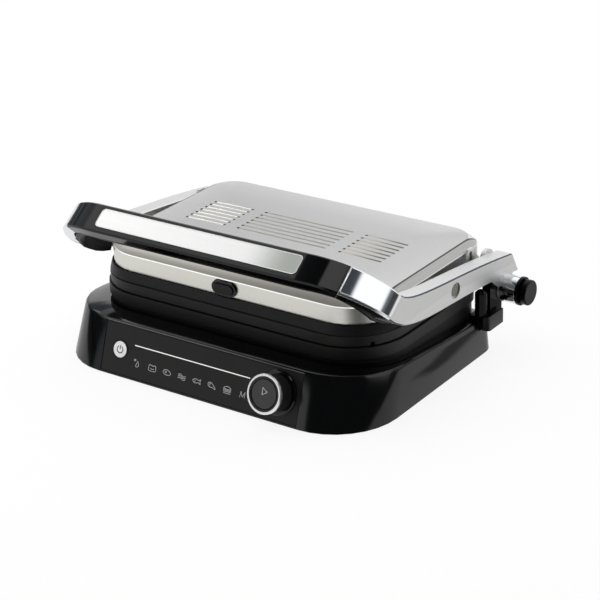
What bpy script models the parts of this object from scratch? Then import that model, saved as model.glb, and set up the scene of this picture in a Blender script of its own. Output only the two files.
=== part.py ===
"""Contact grill with a floating lid, cast lid arms and a front control panel.

Lengths are in metres, +Z is up, and the front of the grill faces -Y.
The grill is laid out from the line where the front face would meet the worktop, and one empty
then carries that line forward, so that the world origin is the middle of the footprint box.
"""
import math

import bmesh
import bpy
from mathutils import Matrix, Vector

MM = 0.001

# Counts that set how fine the facets are
corner_steps = 8
round_sides = 32
boss_sides = 24
small_sides = 16
arc_steps = 10

# Distance under which points are welded
weld_distance = 0.01 * MM

# Clearances shared by every joint between two pieces
seat_gap = 0.3 * MM
slide_gap = 0.4 * MM
overrun = 1.0 * MM

# Cooking plates: their half width and depth set the plan of the whole grill
plate_half_width = 167 * MM
plate_depth = 194 * MM
plate_front_margin = 46 * MM
plate_rear_margin = 5 * MM
plate_corner = 59 * MM
plate_rear_corner = 24 * MM
plate_rest_gap = 0.5 * MM
plate_thickness = 12 * MM
plate_split_gap = 0.9 * MM
plate_rim = 5 * MM
plate_web = 6.5 * MM
upper_plate_web = 5.5 * MM
upper_plate_inset = 1.8 * MM
upper_plate_overhang = 10 * MM
upper_plate_height = 9.8 * MM
groove_pitch = 15 * MM
groove_width = 7 * MM
groove_depth = 3.4 * MM
groove_side_margin = 17 * MM
groove_end_margin = 22 * MM
drain_width = 9 * MM

# Base housing round the lower plate
base_shelf = 13 * MM
base_floor_gap = 0.8 * MM
base_front_lean = math.radians(19.7)
base_front_corner = 64 * MM
base_rear_corner = 22 * MM
base_wall = 3.2 * MM
base_side_draft = 3 * MM
base_edge_round = 3 * MM
deck_front_height = 51 * MM
deck_fall = 18.2 * MM
deck_thickness = 2.6 * MM

# Bottom cover and feet
cover_thickness = 2.4 * MM
cover_lift = 1.6 * MM
foot_radius = 10 * MM
foot_side_inset = 34 * MM
foot_end_inset = 40 * MM

# Heater pan, elements, reflectors and clips
pan_inset = 2 * MM
pan_wall = 1.6 * MM
pan_shoulder_drop = 3.3 * MM
pan_floor_drop = 3.5 * MM
pan_floor_inset = 12 * MM
reflector_thickness = 0.8 * MM
reflector_drop = 6.5 * MM
upper_reflector_rise = 5 * MM
element_radius = 3.3 * MM
element_side_margin = 34 * MM
element_end_margin = 34 * MM
element_legs = 6
clip_width = 30 * MM
clip_height = 5 * MM
clip_thickness = 1.6 * MM

# Lid casing, stepped in from the plates
lid_bezel_inset = 3.5 * MM
lid_bezel_advance = 4 * MM
lid_bezel_overhang = 23.5 * MM
lid_bezel_corner = 51 * MM
lid_bezel_height = 8.8 * MM
lid_bezel_taper = 2.5 * MM
lid_bezel_band = 12 * MM
lid_inset = 4.7 * MM
lid_front_inset = 5 * MM
lid_rear_inset = 1.5 * MM
lid_corner = 45.6 * MM
lid_rear_corner = 26 * MM
lid_band_height = 16 * MM
lid_bevel_height = 6.2 * MM
lid_front_bevel = 16 * MM
lid_side_bevel = 7.6 * MM
lid_rear_bevel = 4 * MM
lid_crown = 3.8 * MM
lid_crown_bands = (14 * MM, 38 * MM, 64 * MM)
lid_crown_shares = (0.42, 0.82, 1.0)
lid_skin = 1.2 * MM
vent_rows = 7
vent_pitch = 7.7 * MM
vent_width = 2.6 * MM
vent_front_margin = 90 * MM
vent_side_margin = 44.8 * MM
vent_side_length = 47 * MM
vent_column_gap = 15.4 * MM

# Arms, and the lid's pivots in them
arm_clearance = 8.2 * MM
arm_thickness = 17.5 * MM
arm_chamfer = 1.4 * MM
arm_rear_top_reach = 12.6 * MM
arm_rear_top_rise = 30.1 * MM
arm_rear_bottom_reach = 24.8 * MM
arm_rear_bottom_rise = 8 * MM
arm_top_bend_share = (0.092, 0.50)
arm_top_bend_rise = (45.5 * MM, 47.5 * MM)
arm_bottom_bend_share = (0.16, 0.445)
arm_bottom_bend_rise = (11.5 * MM, 27.5 * MM)
arm_stations = 14
pivot_reach = 92.2 * MM
pivot_rise = 31.8 * MM
pivot_radius = 3 * MM
pivot_head_radius = 5.5 * MM
pivot_recess_radius = 7.6 * MM
pivot_recess_depth = 3 * MM
pivot_boss_radius = 5.6 * MM
pivot_plate_half_length = 14 * MM
pivot_plate_thickness = 3 * MM

# Slotted lug that limits the lid's tilt
tilt_range = math.radians(8)
lug_reach = 26 * MM
lug_drop = 6.5 * MM
lug_height = 19 * MM
lug_foot_front = 14 * MM
lug_foot_rear = 15 * MM
lug_foot_height = 4.5 * MM
lug_crest_half = 4 * MM
lug_wall = 2 * MM
lug_thickness = 2.6 * MM
stop_pin_radius = 2.2 * MM

# Hinge at the rear of the base
hinge_overhang = 12 * MM
hinge_rise = 7.5 * MM
hinge_pin_radius = 4 * MM
hinge_ear_radius = 12.9 * MM
hinge_ear_step = 0.4 * MM
hinge_ear_recess = 0.2 * MM
hinge_boss_radius = 13.5 * MM
hinge_boss_length = 16.5 * MM
hinge_bore_depth = 11 * MM
hinge_collar_radius = 14 * MM
hinge_collar_thickness = 2.8 * MM
hinge_button_radius = 12.4 * MM
hinge_button_stem = 10.4 * MM
hinge_button_travel = 2.5 * MM
hinge_button_cap = 5.2 * MM
hinge_button_edge = 0.8 * MM
spring_boss_radius = 10.2 * MM
spring_boss_thickness = 2.8 * MM
spring_boss_reach = 4.5 * MM
spring_boss_rise = 27 * MM
post_thickness = 8.4 * MM
post_offset = 6.2 * MM
post_front_reach = 25.5 * MM
post_rear_reach = 3.5 * MM
post_top_rise = 10.8 * MM
post_front_chamfer = 3.6 * MM
post_eye_radius = 11 * MM
post_heel = 3.1 * MM
housing_inset = 13.2 * MM
housing_overhang = 7 * MM
housing_front_reach = 38 * MM
housing_rear_reach = 8.4 * MM
housing_height = 14.5 * MM
housing_drop = 18 * MM
housing_bottom_edge = 2.4 * MM
housing_corner = 5 * MM
housing_slope_length = 12.4 * MM
housing_slope_height = 13.1 * MM
sleeve_reach = 32 * MM
sleeve_offset = 2 * MM
sleeve_radius = 5.9 * MM
sleeve_height = 25 * MM
sleeve_chamfer = 2.4 * MM

# Handle bar that joins the arms
handle_slope = math.radians(37)
handle_edge_y = 28.7 * MM
handle_edge_z = 161.2 * MM
handle_width = 30 * MM
handle_bend_length = 69.5 * MM
handle_bar_overlap = 39 * MM
handle_bar_depth = 12 * MM
handle_crease_angle = math.radians(78.5)
handle_chamfer = 1.5 * MM
handle_top_drift = 7.8 * MM
handle_bottom_drift = 11.9 * MM
handle_drift_power = 1.35
inlay_end_margin = 1.3 * MM
inlay_width = 19.7 * MM
inlay_centre = 14.4 * MM
inlay_corner = 4 * MM
inlay_recess = 1.0 * MM
inlay_proud = 0.4 * MM
under_cover_end_depth = 22 * MM
under_cover_margin = 2.6 * MM
under_cover_chamfer = 3 * MM
arm_swell_power = 4
liner_hang = 2.5 * MM
liner_arm_margin = 4 * MM
liner_end_thickness = 1.4 * MM
liner_stations = 4
liner_chamfer_share = 0.3

# Control panel, measured up the sloping front face from the worktop line
panel_side_margin = 66.3 * MM
panel_low = 2.9 * MM
panel_high = 50.9 * MM
panel_gap = 0.5 * MM
panel_pocket = 2.0 * MM
panel_thickness = 1.5 * MM
light_left_margin = 36.5 * MM
light_right_margin = 56.4 * MM
light_level = 34.1 * MM
light_width = 1.3 * MM
power_margin = 20.1 * MM
power_level = 26.6 * MM
power_radius = 9.1 * MM
power_proud = 0.5 * MM
power_depth = 4.5 * MM
knob_margin = 24.6 * MM
knob_level = 28.6 * MM
knob_bezel_radius = 20.8 * MM
knob_bezel_thickness = 2.2 * MM
knob_radius = 17.2 * MM
knob_reach = 22 * MM
knob_ring_radius = 18.4 * MM
knob_ring_bore = 13.9 * MM
knob_ring_thickness = 3.3 * MM
knob_ring_round = 0.7 * MM
knob_floor = 7.6 * MM
encoder_bush_radius = 4.3 * MM
encoder_body = 14 * MM
encoder_depth = 9 * MM
start_radius = 13.5 * MM
start_recess = 0.6 * MM
start_travel = 1.2 * MM
start_stem_radius = 2.6 * MM

# Boards behind the panel and in the floor of the base
board_thickness = 1.6 * MM
board_gap = 3.6 * MM
board_left_margin = 7.7 * MM
board_right_margin = 45.7 * MM
board_low = 11 * MM
board_high = 45 * MM
board_boss_radius = 3 * MM
board_boss_inset = 6 * MM
board_boss_left = 30 * MM
power_board_length = 92 * MM
power_board_width = 46 * MM
power_board_front_margin = 69 * MM
power_board_lift = 4 * MM
relay_size = 15 * MM
relay_pitch = 24 * MM
relay_headroom = 2.2 * MM

# Release button for the upper plate, in the front of the lid
release_half_width = 13.8 * MM
release_height = 14.4 * MM
release_drop = 8 * MM
release_rim = 2.2 * MM
release_frame_depth = 5 * MM
release_frame_proud = 2.4 * MM
release_button_proud = 3.8 * MM
release_button_depth = 11 * MM
release_edge = 0.6 * MM

# Drip tray and cable gland at the rear
tray_side_margin = 95 * MM
tray_length = 92 * MM
tray_height = 15 * MM
tray_wall = 1.8 * MM
tray_lift = 0.4 * MM
tray_grip_half_width = 22 * MM
tray_grip_depth = 5 * MM
tray_grip_height = 7 * MM
tray_face_thickness = 9 * MM
gland_side_margin = 48 * MM
gland_level = 18 * MM
gland_radius = 6.5 * MM
gland_flange_radius = 9 * MM
gland_flange_thickness = 2.5 * MM
gland_reach = 5 * MM
gland_bore = 3.8 * MM

# Plan of the base, worked out from the plates
lower_plate_front = plate_front_margin
lower_plate_rear = lower_plate_front + plate_depth
base_width = 2 * (plate_half_width + base_shelf)
base_depth = lower_plate_rear + plate_rear_margin
upper_plate_rear = lower_plate_rear + upper_plate_overhang
drain_y = lower_plate_rear - groove_end_margin
groove_field_half_width = plate_half_width - groove_side_margin

# Heights of the base, the plates and the lid
deck_rear_height = deck_front_height - deck_fall
cover_bottom = base_floor_gap + cover_lift
cover_top = cover_bottom + cover_thickness
pan_shoulder_height = deck_rear_height - pan_shoulder_drop
pan_floor_height = pan_shoulder_height - pan_floor_drop
lower_plate_bottom = deck_front_height + plate_rest_gap
lower_plate_top = lower_plate_bottom + plate_thickness
lower_reflector_height = lower_plate_bottom - reflector_drop
upper_plate_bottom = lower_plate_top + plate_split_gap
upper_plate_top = upper_plate_bottom + upper_plate_height
lid_bezel_bottom = upper_plate_top + seat_gap
lid_bezel_top = lid_bezel_bottom + lid_bezel_height
lid_cover_bottom = lid_bezel_top + seat_gap
lid_fold_height = lid_cover_bottom + lid_band_height
lid_edge_height = lid_fold_height + lid_bevel_height
release_level = lid_fold_height - release_drop

# Plan of the lid and the arms
lid_bezel_half_width = plate_half_width - lid_bezel_inset
lid_bezel_front = lower_plate_front + lid_bezel_advance
lid_bezel_rear = lower_plate_rear + lid_bezel_overhang
lid_half_width = lid_bezel_half_width - lid_inset
lid_front = lid_bezel_front + lid_front_inset
lid_rear = lid_bezel_rear - lid_rear_inset
vent_first_y = lid_front + vent_front_margin
vent_side_end = lid_half_width - vent_side_margin
vent_side_start = vent_side_end - vent_side_length
vent_middle_half_length = vent_side_start - vent_column_gap
arm_inner = lid_half_width + arm_clearance
arm_half_width = arm_inner + arm_thickness
handle_straight = arm_half_width - handle_bend_length
handle_radius = handle_bend_length / math.sin(handle_crease_angle)
handle_bar_angle = math.asin(handle_bar_overlap / handle_radius)
inlay_half_length = handle_straight - inlay_end_margin

# Hinge, its posts and housings, and the pivots, set out from the hinge pin
hinge_y = lower_plate_rear + hinge_overhang
hinge_z = lower_plate_bottom + hinge_rise - plate_rest_gap
arm_rear_top = (hinge_y + arm_rear_top_reach, hinge_z + arm_rear_top_rise)
arm_rear_bottom = (hinge_y + arm_rear_bottom_reach, hinge_z + arm_rear_bottom_rise)
pivot_y = hinge_y - pivot_reach
pivot_z = hinge_z + pivot_rise
lug_y = hinge_y - lug_reach
lug_bottom = pivot_z - lug_drop
lug_top = lug_bottom + lug_height
hinge_boss_end = arm_half_width + hinge_boss_length
hinge_bore_floor = hinge_boss_end - hinge_bore_depth
post_front = hinge_y - post_front_reach
post_rear = hinge_y - post_rear_reach
post_top = hinge_z + post_top_rise
housing_inner = base_width / 2 - housing_inset
housing_outer = base_width / 2 + housing_overhang
housing_front = hinge_y - housing_front_reach
housing_rear = hinge_y - housing_rear_reach
housing_top = hinge_z - housing_drop
housing_bottom = housing_top - housing_height
housing_slope_start = housing_rear - housing_slope_length
housing_slope_low = housing_top - housing_slope_height
post_low = housing_top - post_heel
post_slot_top = hinge_z + math.hypot(post_rear_reach, hinge_z - post_low) + overrun

# Places on the control panel and at the rear of the base
panel_half_width = base_width / 2 - panel_side_margin
panel_face = seat_gap + panel_thickness - panel_pocket
light_start = light_left_margin - panel_half_width
light_end = panel_half_width - light_right_margin
power_x = power_margin - panel_half_width
knob_x = panel_half_width - knob_margin
board_start = board_left_margin - panel_half_width
board_end = panel_half_width - board_right_margin
power_board_y = power_board_front_margin + power_board_width / 2
power_board_height = cover_top + power_board_lift
relay_top = pan_floor_height - relay_headroom
tray_half_width = base_width / 2 - tray_side_margin
gland_x = gland_side_margin - base_width / 2
lean_out = Vector((0, -math.cos(base_front_lean), math.sin(base_front_lean)))
lean_up = Vector((0, math.sin(base_front_lean), math.cos(base_front_lean)))
knob_front = (lean_up * (knob_level - knob_ring_radius + knob_ring_round) + lean_out * knob_reach).y
box_middle = (knob_front + arm_rear_bottom[0]) / 2

ORIGIN = Vector((0, 0, 0))


def start_scene():
    for thing in list(bpy.data.objects):
        bpy.data.objects.remove(thing, do_unlink=True)
    scene = bpy.context.scene
    made = {}
    for name in ("contact_grill", "cutters"):
        made[name] = bpy.data.collections.new(name)
        scene.collection.children.link(made[name])
    return made


COLLECTIONS = start_scene()


def make_frame(name, location, rotation=(0, 0, 0), parent=None):
    """An empty that carries pieces; its place is given in the grill's own layout."""
    empty = bpy.data.objects.new(name, None)
    COLLECTIONS["contact_grill"].objects.link(empty)
    empty.rotation_euler = rotation
    empty.parent = parent
    empty.location = location
    empty["layout_origin"] = tuple(Vector(location) + layout_of(parent))
    return empty


def layout_of(empty):
    if empty is None or "layout_origin" not in empty:
        return ORIGIN.copy()
    return Vector(empty["layout_origin"])


GRILL = bpy.data.objects.new("grill_frame", None)
COLLECTIONS["contact_grill"].objects.link(GRILL)
GRILL.location = (0, -box_middle, 0)
ARM_AXIS = make_frame("arm_hinge_axis", (0, hinge_y, hinge_z), parent=GRILL)
LID_AXIS = make_frame("lid_pivot_axis", (0, pivot_y - hinge_y, pivot_z - hinge_z), parent=ARM_AXIS)
PANEL = make_frame("panel_frame", (0, 0, 0), (math.pi / 2 - base_front_lean, 0, 0), parent=GRILL)


def make_material(name, colour, roughness, metallic):
    material = bpy.data.materials.new(name)
    material.use_nodes = True
    shader = material.node_tree.nodes["Principled BSDF"]
    shader.inputs["Base Color"].default_value = (*colour, 1)
    shader.inputs["Roughness"].default_value = roughness
    shader.inputs["Metallic"].default_value = metallic
    return material


FINISHES = {
    "gloss_black": ((0.012, 0.012, 0.013), 0.12, 0.0),
    "satin_black": ((0.020, 0.020, 0.021), 0.45, 0.0),
    "coated_black": ((0.028, 0.028, 0.028), 0.55, 0.0),
    "brushed_steel": ((0.62, 0.61, 0.59), 0.32, 1.0),
    "cast_aluminium": ((0.70, 0.70, 0.69), 0.36, 1.0),
    "chrome": ((0.80, 0.80, 0.80), 0.08, 1.0),
    "white_plastic": ((0.80, 0.80, 0.79), 0.35, 0.0),
    "light_lens": ((0.85, 0.86, 0.86), 0.25, 0.0),
    "rubber": ((0.030, 0.030, 0.030), 0.80, 0.0),
    "board_green": ((0.02, 0.16, 0.07), 0.50, 0.0),
    "heater_steel": ((0.35, 0.34, 0.33), 0.40, 1.0),
}


def add_piece(name, mesh_data, finish, frame=GRILL, origin=None, cutter=False):
    """Make an object from a bmesh laid out in the grill's coordinates and hang it on a frame."""
    start = layout_of(frame) if origin is None else Vector(origin)
    if frame is PANEL and origin is None:
        start = ORIGIN
    bmesh.ops.translate(mesh_data, verts=mesh_data.verts, vec=-start)
    bmesh.ops.recalc_face_normals(mesh_data, faces=mesh_data.faces)
    mesh = bpy.data.meshes.new(name)
    mesh_data.to_mesh(mesh)
    mesh_data.free()
    piece = bpy.data.objects.new(name, mesh)
    COLLECTIONS["cutters" if cutter else "contact_grill"].objects.link(piece)
    piece.parent = frame
    piece.location = start - (ORIGIN if frame is PANEL else layout_of(frame))
    if cutter:
        piece.hide_render = True
        piece.display_type = "WIRE"
    else:
        mesh.materials.append(make_material(name, *FINISHES[finish]))
        mesh.shade_smooth()
        mesh.set_sharp_from_angle(angle=math.radians(35))
    return piece


def add_cutter(name, mesh_data, frame=GRILL):
    return add_piece(name, mesh_data, None, frame, cutter=True)


def combine(piece, tool, operation):
    modifier = piece.modifiers.new(operation.lower() + "_" + tool.name, "BOOLEAN")
    modifier.operation = operation
    modifier.object = tool
    modifier.solver = "EXACT"
    return piece


def cut(piece, tool):
    return combine(piece, tool, "DIFFERENCE")


def fuse(piece, tool):
    return combine(piece, tool, "UNION")


def soften(piece, width, segments=1, angle=35):
    modifier = piece.modifiers.new("edge_round", "BEVEL")
    modifier.width = width
    modifier.segments = segments
    modifier.limit_method = "ANGLE"
    modifier.angle_limit = math.radians(angle)
    return piece


def box_mesh(low, high):
    shape = bmesh.new()
    size = Vector(high) - Vector(low)
    middle = (Vector(high) + Vector(low)) / 2
    bmesh.ops.create_cube(shape, size=1, matrix=Matrix.Translation(middle) @ Matrix.Diagonal((*size, 1)))
    return shape


def add_cylinder(shape, start, end, radius, end_radius=None, sides=round_sides):
    """A capped cylinder or cone from one point to another."""
    start, end = Vector(start), Vector(end)
    along = end - start
    turn = Vector((0, 0, 1)).rotation_difference(along).to_matrix().to_4x4()
    place = Matrix.Translation((start + end) / 2) @ turn
    radius_two = radius if end_radius is None else end_radius
    bmesh.ops.create_cone(shape, cap_ends=True, segments=sides, radius1=radius, radius2=radius_two,
                          depth=along.length, matrix=place)
    return shape


def cylinder_mesh(start, end, radius, end_radius=None, sides=round_sides):
    return add_cylinder(bmesh.new(), start, end, radius, end_radius, sides)


def loft(rings, closed=False, caps=(True, True)):
    """Join rings of equally many points; closed ties the last to the first, caps closes the ends."""
    shape = bmesh.new()
    loops = [[shape.verts.new(point) for point in ring] for ring in rings]
    pairs = list(zip(loops, loops[1:]))
    if closed:
        pairs.append((loops[-1], loops[0]))
    for one, two in pairs:
        for index in range(len(one)):
            following = (index + 1) % len(one)
            shape.faces.new((one[index], one[following], two[following], two[index]))
    for ring, capped in ((loops[0], caps[0]), (loops[-1], caps[1])):
        if capped and not closed:
            shape.faces.new(ring)
    return shape


def mesh_of_curve(curve):
    """The welded mesh of a curve, which can then be cut, joined or used as a cutter."""
    guide = bpy.data.objects.new(curve.name, curve)
    COLLECTIONS["cutters"].objects.link(guide)
    depsgraph = bpy.context.evaluated_depsgraph_get()
    depsgraph.update()
    mesh = bpy.data.meshes.new_from_object(guide.evaluated_get(depsgraph))
    shape = bmesh.new()
    shape.from_mesh(mesh)
    bmesh.ops.remove_doubles(shape, verts=shape.verts, dist=weld_distance)
    bpy.data.objects.remove(guide, do_unlink=True)
    bpy.data.meshes.remove(mesh)
    bpy.data.curves.remove(curve)
    return shape


def poly_curve(points, closed):
    curve = bpy.data.curves.new("outline", "CURVE")
    spline = curve.splines.new("POLY")
    spline.points.add(len(points) - 1)
    spline.use_cyclic_u = closed
    for point, place in zip(spline.points, points):
        point.co = (*place, 1)
    return curve


def flat_piece(outline, low, high, axes):
    """A flat outline drawn out between two heights; axes names the directions of its x, y and z."""
    curve = poly_curve([(u, v, 0) for u, v in outline], True)
    curve.dimensions = "2D"
    curve.fill_mode = "BOTH"
    curve.extrude = abs(high - low) / 2
    shape = mesh_of_curve(curve)
    turn = Matrix(axes).transposed().to_4x4()
    middle = Vector(axes[2]) * (low + high) / 2
    bmesh.ops.transform(shape, matrix=Matrix.Translation(middle) @ turn, verts=shape.verts)
    return shape


def prism(profile, start, end):
    """A flat outline in Y and Z, drawn out along X."""
    return flat_piece(profile, start, end, ((0, 1, 0), (0, 0, 1), (1, 0, 0)))


def slab(outline, low, high):
    """A flat outline in X and Y, drawn out along Z."""
    return flat_piece(outline, low, high, ((1, 0, 0), (0, 1, 0), (0, 0, 1)))


def add_turned(name, profile, start, direction, finish, frame=GRILL, ring=False, sides=round_sides):
    """Turn a profile of (radius, height) points, listed down the outer side, about a line from start."""
    mesh = bpy.data.meshes.new(name)
    links = [(index, index + 1) for index in range(len(profile) - 1)]
    if ring:
        links.append((len(profile) - 1, 0))
    mesh.from_pydata([(radius, 0, height) for radius, height in profile], links, [])
    piece = bpy.data.objects.new(name, mesh)
    COLLECTIONS["contact_grill"].objects.link(piece)
    piece.parent = frame
    piece.location = Vector(start) - (ORIGIN if frame is PANEL else layout_of(frame))
    piece.rotation_euler = Vector((0, 0, 1)).rotation_difference(Vector(direction)).to_euler()
    screw = piece.modifiers.new("turn", "SCREW")
    screw.steps = screw.render_steps = sides
    screw.use_merge_vertices = True
    screw.merge_threshold = weld_distance
    screw.use_smooth_shade = True
    mesh.materials.append(make_material(name, *FINISHES[finish]))
    return piece


def shell(piece, thickness):
    """Give an open surface a wall on its inner side."""
    modifier = piece.modifiers.new("wall", "SOLIDIFY")
    modifier.thickness = thickness
    modifier.offset = -1
    modifier.use_even_offset = True
    return piece


def mirror(piece):
    modifier = piece.modifiers.new("other_half", "MIRROR")
    modifier.merge_threshold = weld_distance
    return piece


def arc(centre, radius, start, end, steps=arc_steps):
    """Points on a circle between two angles, both ends included."""
    angles = [start + (end - start) * step / steps for step in range(steps + 1)]
    return [(centre[0] + radius * math.cos(a), centre[1] + radius * math.sin(a)) for a in angles]


def rounded_outline(half_width, front, rear, front_radius, rear_radius):
    """A rectangle with round corners in X and Y, counter-clockwise from the front right corner."""
    quarter = math.pi / 2
    corners = (
        (half_width - front_radius, front + front_radius, front_radius, -quarter),
        (half_width - rear_radius, rear - rear_radius, rear_radius, 0),
        (-half_width + rear_radius, rear - rear_radius, rear_radius, quarter),
        (-half_width + front_radius, front + front_radius, front_radius, 2 * quarter),
    )
    points = []
    for x, y, radius, turn in corners:
        points += arc((x, y), radius, turn, turn + quarter, corner_steps)
    return points


def obround_outline(half_length, half_height):
    """A bar with round ends about the origin."""
    quarter = math.pi / 2
    right = arc((half_length - half_height, 0), half_height, -quarter, quarter)
    left = arc((half_height - half_length, 0), half_height, quarter, 3 * quarter)
    return right + left


def level_ring(outline, height):
    return [(x, y, height) for x, y in outline]


def deck_height(y):
    """The deck falls from the front edge to the rear."""
    front = deck_front_height * math.tan(base_front_lean)
    share = (y - front) / (base_depth - front)
    return deck_front_height + (deck_rear_height - deck_front_height) * share


def base_ring(share, inset, drop=0.0):
    """The housing's outline a share of the way up to the deck, drawn in by inset."""
    front_z = base_floor_gap + (deck_front_height - base_floor_gap) * share - drop
    front = front_z * math.tan(base_front_lean) + inset / math.cos(base_front_lean)
    half = base_width / 2 - base_side_draft * share - inset
    rear = base_depth - inset
    outline = rounded_outline(half, front, rear, base_front_corner - inset, base_rear_corner - inset)
    ring = []
    for x, y in outline:
        top = deck_height(y)
        ring.append((x, y, base_floor_gap + (top - base_floor_gap) * share - drop))
    return ring


def plate_outline(inset, half_width, front, rear, corner, rear_corner=plate_rear_corner):
    return rounded_outline(half_width - inset, front + inset, rear - inset, corner - inset,
                           max(rear_corner - inset, seat_gap))


def lower_outline(inset):
    return plate_outline(inset, plate_half_width, lower_plate_front, lower_plate_rear,
                         plate_corner)


def upper_outline(inset):
    return plate_outline(inset, plate_half_width - upper_plate_inset,
                         lower_plate_front + upper_plate_inset, upper_plate_rear,
                         plate_corner - upper_plate_inset)


def make_base_housing():
    deck_ring = base_ring(1, base_edge_round)
    opening = level_ring(lower_outline(pan_inset - slide_gap), 0)
    hole_top = [(x, y, deck_height(y)) for x, y, z in opening]
    hole_low = [(x, y, deck_height(y) - deck_thickness) for x, y, z in opening]
    chamfer_inset = base_edge_round * (1 - math.cos(math.pi / 4))
    rings = [
        base_ring(0, 0),
        base_ring(1, 0, base_edge_round),
        base_ring(1, chamfer_inset, chamfer_inset),
        deck_ring,
        hole_top,
        hole_low,
        base_ring(1, base_wall, deck_thickness),
        base_ring(0, base_wall),
    ]
    walls = loft(rings, closed=True)
    bmesh.ops.triangulate(walls, faces=walls.faces)
    housing = add_piece("base_housing", walls, "gloss_black")
    pocket_half = panel_half_width + panel_gap
    pocket = add_cutter("panel_pocket", box_mesh(
        (-pocket_half, panel_low - panel_gap, -panel_pocket),
        (pocket_half, panel_high + panel_gap, overrun)), PANEL)
    cut(housing, pocket)
    through = base_wall + overrun
    holes = bmesh.new()
    add_cylinder(holes, (power_x, power_level, -through), (power_x, power_level, overrun),
                 power_radius + slide_gap)
    add_cylinder(holes, (knob_x, knob_level, -through), (knob_x, knob_level, overrun),
                 encoder_bush_radius + seat_gap, sides=small_sides)
    cut(housing, add_cutter("panel_holes", holes, PANEL))
    window_half = tray_half_width + slide_gap
    cut(housing, add_cutter("tray_window", box_mesh(
        (-window_half, base_depth - base_wall - 2 * overrun, base_floor_gap - overrun),
        (window_half, base_depth + overrun, cover_top + tray_lift + tray_height + slide_gap))))
    cut(housing, add_cutter("gland_hole", cylinder_mesh(
        (gland_x, base_depth - base_wall - 2 * overrun, gland_level),
        (gland_x, base_depth + overrun, gland_level), gland_radius + seat_gap, sides=small_sides)))
    for side, label in ((1, "right"), (-1, "left")):
        cut(housing, add_cutter("hinge_notch_" + label, hinge_housing_mesh(side, seat_gap)))
    return housing


def hinge_housing_profile(growth):
    """Side view of the block under a hinge post, with its lower edges broken."""
    edge = 0 if growth else housing_bottom_edge
    front, rear = housing_front - growth, housing_rear + growth
    low = housing_bottom - growth
    top = housing_top + (overrun if growth else 0)
    profile = [(rear, low), (front + edge, low)]
    if growth:
        return profile + [(front, top), (rear, top)]
    return profile + [(front, low + edge), (front, top), (rear, top)]


def hinge_housing_mesh(side, growth):
    ends = sorted((side * (housing_inner - growth), side * (housing_outer + growth)))
    return prism(hinge_housing_profile(growth), *ends)


def slope_wedge(side):
    """What is cut off inside the outer cheek, so that the end of the arm can swing down there."""
    start = Vector((housing_slope_start, housing_top))
    end = Vector((housing_rear, housing_slope_low))
    run = (end - start) / 2
    above, below = start - run, end + run
    ends = sorted((side * (housing_inner - overrun), side * (arm_half_width + slide_gap)))
    return prism([tuple(above), tuple(below), (below.x, above.y)], *ends)


def make_hinge_housings():
    """Blocks at the rear corners, each with a round sleeve in front of its hinge post."""
    for side, label in ((1, "right"), (-1, "left")):
        housing = add_piece("hinge_housing_" + label, hinge_housing_mesh(side, 0), "satin_black")
        run = housing_corner
        corner = [(side * (housing_outer - run), housing_front),
                  (side * (housing_outer + run), housing_front + 2 * run),
                  (side * (housing_outer + run), housing_front - run),
                  (side * (housing_outer - run), housing_front - run)]
        cut(housing, add_cutter("hinge_corner_" + label, slab(
            corner, housing_bottom - overrun, housing_top + overrun)))
        cut(housing, add_cutter("hinge_slope_" + label, slope_wedge(side)))
        x, y = side * (arm_half_width - post_offset - sleeve_offset), hinge_y - sleeve_reach
        top = housing_top + sleeve_height
        rings = [level_ring(arc((x, y), radius, 0, 2 * math.pi, boss_sides)[:-1], level) for radius, level in (
            (sleeve_radius, housing_top - sleeve_chamfer), (sleeve_radius, top - sleeve_chamfer),
            (sleeve_radius - sleeve_chamfer, top))]
        fuse(housing, add_cutter("hinge_sleeve_" + label, loft(rings)))


def make_hinge_posts():
    """Posts with an eye for the hinge pin; the ears of each arm straddle them."""
    quarter = math.pi / 2
    low = housing_top + seat_gap
    eye_bottom = hinge_z - post_eye_radius
    profile = [(post_front, low), (post_front, post_top - post_front_chamfer),
               (post_front + post_front_chamfer, post_top)]
    profile += arc((hinge_y, hinge_z), post_eye_radius, quarter, -quarter)
    slope = (housing_rear - housing_slope_start) / (housing_top - housing_slope_low)
    foot_y = housing_slope_start + seat_gap + (low - post_low) * slope
    profile += [(post_rear, eye_bottom - post_front_chamfer), (post_rear, post_low), (foot_y, post_low),
                (housing_slope_start + seat_gap, low)]
    for side, label in ((1, "right"), (-1, "left")):
        middle = side * (arm_half_width - post_offset)
        half = post_thickness / 2
        post = add_piece("hinge_post_" + label, prism(profile, middle - half, middle + half),
                         "gloss_black")
        bore = cylinder_mesh((middle - post_thickness, hinge_y, hinge_z),
                             (middle + post_thickness, hinge_y, hinge_z),
                             hinge_pin_radius + seat_gap, sides=small_sides)
        cut(post, add_cutter("post_bore_" + label, bore))


def make_bottom_cover():
    share = (cover_top - base_floor_gap) / (deck_rear_height - base_floor_gap)
    ring = [(x, y) for x, y, z in base_ring(share, base_wall + seat_gap)]
    add_piece("bottom_cover", slab(ring, cover_bottom, cover_top), "satin_black")


def make_feet():
    half = base_width / 2 - foot_side_inset
    places = (("front_right", half, foot_end_inset), ("front_left", -half, foot_end_inset),
              ("rear_right", half, base_depth - foot_end_inset),
              ("rear_left", -half, base_depth - foot_end_inset))
    for label, x, y in places:
        top = cover_bottom - seat_gap
        add_turned("foot_" + label, [(0, top), (foot_radius, top), (foot_radius, overrun),
                                     (foot_radius - overrun, 0), (0, 0)], (x, y, 0), (0, 0, 1), "rubber",
                   sides=small_sides)


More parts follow.
